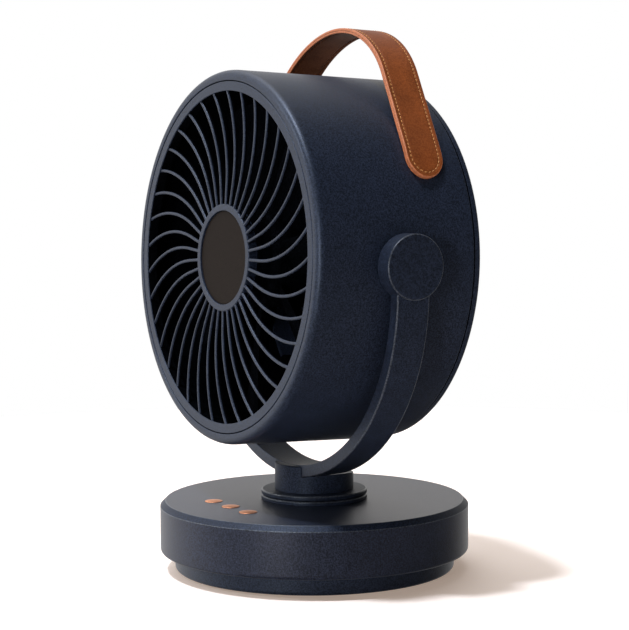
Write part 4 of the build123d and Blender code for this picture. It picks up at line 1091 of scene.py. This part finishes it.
class FAN_OT_strap(bpy.types.Operator):
    """Makes the leather carrying strap, its lining and its stitches"""

    bl_idname = "fan.strap"
    bl_label = "Carrying strap"

    # Half the gap between the two layers, how much narrower the lining is, and the width of a cut edge
    layer_gap, narrower, cut_edge = 0.02 * MM, 0.12 * MM, 0.5 * MM

    def execute(self, context):
        sizes = context.scene.fan_strap
        strap = Strap(sizes, context.scene.fan_head.radius)
        top = sizes.lining + sizes.leather
        leather, lining = self.leather_rows(sizes, top), self.lining_rows(sizes)
        self.layer(strap, "strap_outer", "strap_leather", "leather", leather, 0.0)
        self.layer(strap, "strap_inner", "strap_lining", "leather_lining", lining, self.narrower)
        upper = self.stitches(strap, top - sizes.groove, 1)
        lower = self.stitches(strap, sizes.groove, -1)
        seam = shell("strap_stitches", [upper, (*lower[:2], lower[2] + 1)], "strap_thread", "strap_lining")
        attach(seam, "head")
        return {"FINISHED"}

    def face(self, sizes, edge, level, depth):
        """(inset, height) rows over a face, close together at the seam, whose furrow is pressed into it."""
        half, furrow, beside, seam_rows = sizes.width / 2, 0.5 * MM, 1.1, 12
        seam = sizes.stitch_inset + np.linspace(-beside, beside, seam_rows) * MM
        flat = (half, 0.75 * half, 0.55 * half)
        insets = np.concatenate((flat, seam[::-1], (edge + self.cut_edge,)))
        press = np.exp(-((insets - sizes.stitch_inset) / furrow) ** 2)
        return np.stack((insets, level - depth * press), axis=-1)

    def brow(self, edge, turns):
        """Rounded edge as (inset, depth below the face) rows."""
        return edge * np.stack((1 - np.sin(turns), 1 - np.cos(turns)), axis=-1)

    def inner_side(self, half, level, up):
        """(inset, height) rows of the side towards the other layer, with its edge eased up or down."""
        rows = np.array(((0.0, 0.25), (0.05, 0.07), (0.22, 0.0))) * MM
        return np.concatenate((rows * (1.0, up) + (0.0, level), ((half, level),)))

    def leather_rows(self, sizes, top):
        """Rows of the outer layer, from the middle of its face over the edge to the middle below."""
        edge = sizes.edge_round
        brow = self.brow(edge, np.linspace(0, np.pi / 2, 6)) * (1.0, -1.0) + (0.0, top)
        below = self.inner_side(sizes.width / 2, sizes.lining + self.layer_gap, 1.0)
        return np.concatenate((self.face(sizes, edge, top, sizes.groove), brow, below))

    def lining_rows(self, sizes):
        """Rows of the lining, from the middle of its upper side over the edge to the middle below."""
        edge = 0.4 * MM
        above = self.inner_side(sizes.width / 2, sizes.lining - self.layer_gap, -1.0)[::-1]
        brow = self.brow(edge, np.linspace(np.pi / 2, 0, 6))
        return np.concatenate((above, brow, self.face(sizes, edge, 0.0, -sizes.groove)[::-1]))

    def layer(self, strap, name, node, slot, rows, narrower):
        """One layer: each row is a closed line at its inset and height; the cut edge has its own finish."""
        insets = np.minimum(rows[:, 0] + narrower, strap.sizes.width / 2)
        points = strap.lifted(*strap.loop(insets), rows[:, 1:])
        edges = np.maximum(rows[:-1, 0], rows[1:, 0]) < self.cut_edge
        made = shell(name, [grid(points, wrap=True, slot=edges[:, None])], node, "strap_edge")
        self.note_insets(made.data, strap)
        settle(made, node)

    def note_insets(self, mesh, strap):
        """Keeps on each point how far in from the strap's side it lies, as a share of half its width."""
        _, v, w = head_points(mesh).T
        half = strap.sizes.width / 2
        share = np.clip(1 - abs(w - strap.middle(v)) / (half * strap.skew), 0, 1)
        kept = mesh.attributes.new("inset", "FLOAT", "POINT")
        kept.data.foreach_set("value", share.astype(np.float32))

    def stitches(self, strap, level, side):
        """Every stitch at once: short threads along the seam whose ends dip into the leather."""
        sizes = strap.sizes
        thread_sides, thread_rows, proud, fall = 7, 7, 0.55, 6.0
        x, y = strap.loop(sizes.stitch_inset, side_steps=400, end_steps=60)
        line = strap.lifted(x, y, level)
        steps = np.linalg.norm(np.diff(line, axis=0, append=line[:1]), axis=1)
        run = np.concatenate(((0.0,), np.cumsum(steps)))
        number = int(round(run[-1] / sizes.stitch_pitch))
        pitch = run[-1] / number
        share = np.linspace(-0.5, 0.5, thread_rows)
        at = (np.arange(number)[:, None] + 0.5) * pitch + share * sizes.stitch_length
        flat = [np.interp(at % run[-1], run, np.append(values, values[0])) for values in (x, y)]
        dip = side * sizes.thread * (proud - fall * share ** 2)
        path = strap.lifted(*flat, level + dip)
        outward = strap.lifted(*flat, level + dip + MM) - path
        outward /= np.linalg.norm(outward, axis=-1, keepdims=True)
        tangent = np.gradient(path, axis=1)
        tangent /= np.linalg.norm(tangent, axis=-1, keepdims=True)
        return carried(on_circle(thread_sides, sizes.thread), path, np.cross(tangent, outward), outward)


class FAN_OT_inner_parts(bpy.types.Operator):
    """Gives the pieces that stay as they are in the frame their finishes"""

    bl_idname = "fan.inner_parts"
    bl_label = "Inner parts"

    def execute(self, context):
        kinds = {
            "screw_steel": (
                "board_screws", "swing_motor_screws", "usb_inlet", "swing_motor", "swing_shaft",
                "yoke_screws", "swivel_spindle", "spindle_clip", "motor_can", "motor_bearings",
                "stator_core", "pivot_bolts", "strap_screws", "motor_shaft", "impeller_nut"),
            "bronze": ("swivel_bush",),
            "gear_nylon": ("swing_gear", "swing_pinion"),
            "inner_plastic": ("swivel_washer", "pivot_washers", "motor_end_cap", "button_switches"),
            "circuit_board": ("control_board", "charge_board"),
            "battery_wrap": ("battery_pack",),
            "copper_winding": ("stator_coils",),
            "magnet": ("rotor_magnet",),
        }
        for finish, nodes in kinds.items():
            for node in nodes:
                mesh = frame["nodes"][node].data
                mesh.materials.clear()
                mesh.materials.append(finish_of(finish))
        return {"FINISHED"}


# Studio: the floor's radius, the camera's place and turn, and its focal length in pixels of the picture
FLOOR_RADIUS = 0.6
PICTURE_WIDTH = 629
CAMERA_PLACE = (0.76653, -0.46490, 0.19610)
CAMERA_YAW, CAMERA_PITCH, CAMERA_ROLL = np.radians((58.72, 4.61, -0.35))
FOCAL_PIXELS = 1851.3
SENSOR_WIDTH = 36.0


class FAN_OT_studio(bpy.types.Operator):
    """Makes the pale floor, the soft lights and the camera"""

    bl_idname = "fan.studio"
    bl_label = "Studio"

    def execute(self, context):
        scene = context.scene
        self.floor(scene)
        self.world(scene)
        soft, middle, face = np.radians(5), (0.0, 0.0, 0.0), (0.02, -0.02, 0.185)
        self.light(scene, "key_light", "SUN", (0.014, -0.324, 1.0), middle, 2.5, angle=soft,
                   color=(0.96, 1.0, 1.06))
        self.light(scene, "fill_light", "SUN", (-0.52, -0.85, 0.45), middle, 0.7, angle=soft)
        self.light(scene, "edge_light", "SPOT", (0.56, -0.96, 0.26), face, 80.0, shadow_soft_size=0.2,
                   spot_size=np.radians(13), spot_blend=0.5)
        self.camera(scene)
        scene.view_settings.view_transform = "Standard"
        return {"FINISHED"}

    def floor(self, scene):
        """Pale floor that keeps its shadows light."""
        finish = Finish("pale_floor", Roughness=0.9, Emission_Strength=0.3,
                        Emission_Color=(1.0, 0.77, 0.62, 1.0))
        tones = finish.tones(finish.noise(300.0), (0.3, (0.84, 0.79, 0.77)), (0.7, (0.86, 0.81, 0.79)))
        finish.feed("Base Color", tones)
        points, quads, _ = turned(np.array(((0.0, 0.0), (FLOOR_RADIUS, 0.0))), closed=False)
        mesh = bpy.data.meshes.new("floor")
        mesh.from_pydata(points.tolist(), [], quads.tolist())
        mesh.materials.append(finish.material)
        floor = bpy.data.objects.new("floor", mesh)
        floor.visible_glossy = False
        scene.collection.objects.link(floor)

    def world(self, scene):
        """Surroundings that are bright near the horizon on the left and overhead; the backdrop is white."""
        scene.world = bpy.data.worlds.new("studio")
        scene.world.use_nodes = True
        tree = scene.world.node_tree
        tree.nodes.clear()
        around = add_node(tree, "TexCoord").outputs["Generated"]

        def worked_out(kind, operation, *sources):
            """Result of a sum over values or other nodes' outputs."""
            made = add_node(tree, kind)
            made.operation = operation
            for socket, source in zip(made.inputs, sources):
                fill(tree, socket, source)
            return made.outputs["Value"]

        def towards(direction):
            """How far a direction of view points one way, from -1 to 1."""
            return worked_out("VectorMath", "DOT_PRODUCT", around, direction)

        def ranged(source, *limits):
            """A value brought from one range to another."""
            sockets = ("From_Min", "From_Max", "To_Min", "To_Max")
            return add_node(tree, "MapRange", Value=source, **dict(zip(sockets, limits))).outputs["Result"]

        height = worked_out("Math", "ABSOLUTE", add_node(tree, "SeparateXYZ", Vector=around).outputs["Z"])
        left = ranged(towards((-1.0, -0.06, 0.0)), -0.1, 0.7, 0.10, 1.2)
        near_horizon = ranged(height, 0.22, 0.75, 1.0, 0.25)
        overhead = ranged(towards((-0.42, -0.1, 0.9)), 0.75, 1.0, 0.0, 2.4)
        level = worked_out("Math", "MULTIPLY_ADD", left, near_horizon, overhead)
        lit = add_node(tree, "Background", Color=(1.0, 0.98, 0.96, 1.0), Strength=level)
        white = add_node(tree, "Background", Color=(1.0, 1.0, 1.0, 1.0))
        chosen = add_node(tree, "MixShader", Fac=add_node(tree, "LightPath").outputs["Is Camera Ray"])
        for socket, source in zip(chosen.inputs[1:], (lit, white)):
            fill(tree, socket, source.outputs["Background"])
        add_node(tree, "OutputWorld", Surface=chosen.outputs["Shader"])

    def light(self, scene, name, kind, place, target, power, **settings):
        """Soft light at a place that shines towards a target."""
        data = bpy.data.lights.new(name, kind)
        data.energy = power
        for setting, value in settings.items():
            setattr(data, setting, value)
        light = bpy.data.objects.new(name, data)
        light.location = place
        light.rotation_euler = (Vector(target) - Vector(place)).to_track_quat("-Z", "Y").to_euler()
        light.visible_camera = False
        scene.collection.objects.link(light)

    def camera(self, scene):
        """Camera at its place, turned by yaw, pitch and roll."""
        level = np.cos(CAMERA_PITCH)
        ahead = Vector((-np.sin(CAMERA_YAW) * level, np.cos(CAMERA_YAW) * level, -np.sin(CAMERA_PITCH)))
        right = ahead.cross(Vector(UP)).normalized()
        up = right.cross(ahead)
        right_turned = right * np.cos(CAMERA_ROLL) + up * np.sin(CAMERA_ROLL)
        up_turned = up * np.cos(CAMERA_ROLL) - right * np.sin(CAMERA_ROLL)
        data = bpy.data.cameras.new("camera")
        data.sensor_fit = "HORIZONTAL"
        data.sensor_width = SENSOR_WIDTH
        data.lens = FOCAL_PIXELS * SENSOR_WIDTH / PICTURE_WIDTH
        camera = bpy.data.objects.new("camera", data)
        turn = Matrix((right_turned, up_turned, -ahead)).transposed().to_4x4()
        camera.matrix_world = Matrix.Translation(CAMERA_PLACE) @ turn
        scene.collection.objects.link(camera)
        scene.camera = camera


OPERATORS = (
    FAN_OT_base, FAN_OT_buttons, FAN_OT_neck, FAN_OT_drum, FAN_OT_grille, FAN_OT_rear_cover, FAN_OT_impeller,
    FAN_OT_strap, FAN_OT_inner_parts, FAN_OT_studio)


class FAN_PT_panel(bpy.types.Panel):
    """Lists the steps that build the fan, and its colours"""

    bl_idname = "FAN_PT_panel"
    bl_label = "Mini Desk Fan"
    bl_space_type = "VIEW_3D"
    bl_region_type = "UI"
    bl_category = "Desk Fan"

    def draw(self, context):
        for operator in OPERATORS:
            self.layout.operator(operator.bl_idname)
        for name in FanColours.__annotations__:
            self.layout.prop(context.scene.fan_colours, name)


GROUPS = {
    "fan_base": FanBaseSizes, "fan_yoke": FanYokeSizes, "fan_head": FanHeadSizes, "fan_strap": FanStrapSizes,
    "fan_colours": FanColours}
CLASSES = (*GROUPS.values(), *OPERATORS, FAN_PT_panel)


def register():
    for kind in CLASSES:
        bpy.utils.register_class(kind)
    for name, group in GROUPS.items():
        setattr(bpy.types.Scene, name, bpy.props.PointerProperty(type=group))


def unregister():
    for name in GROUPS:
        delattr(bpy.types.Scene, name)
    for kind in reversed(CLASSES):
        bpy.utils.unregister_class(kind)


def main():
    register()
    for operator in OPERATORS:
        group, name = operator.bl_idname.split(".")
        getattr(getattr(bpy.ops, group), name)()


if __name__ == "__main__":
    main()
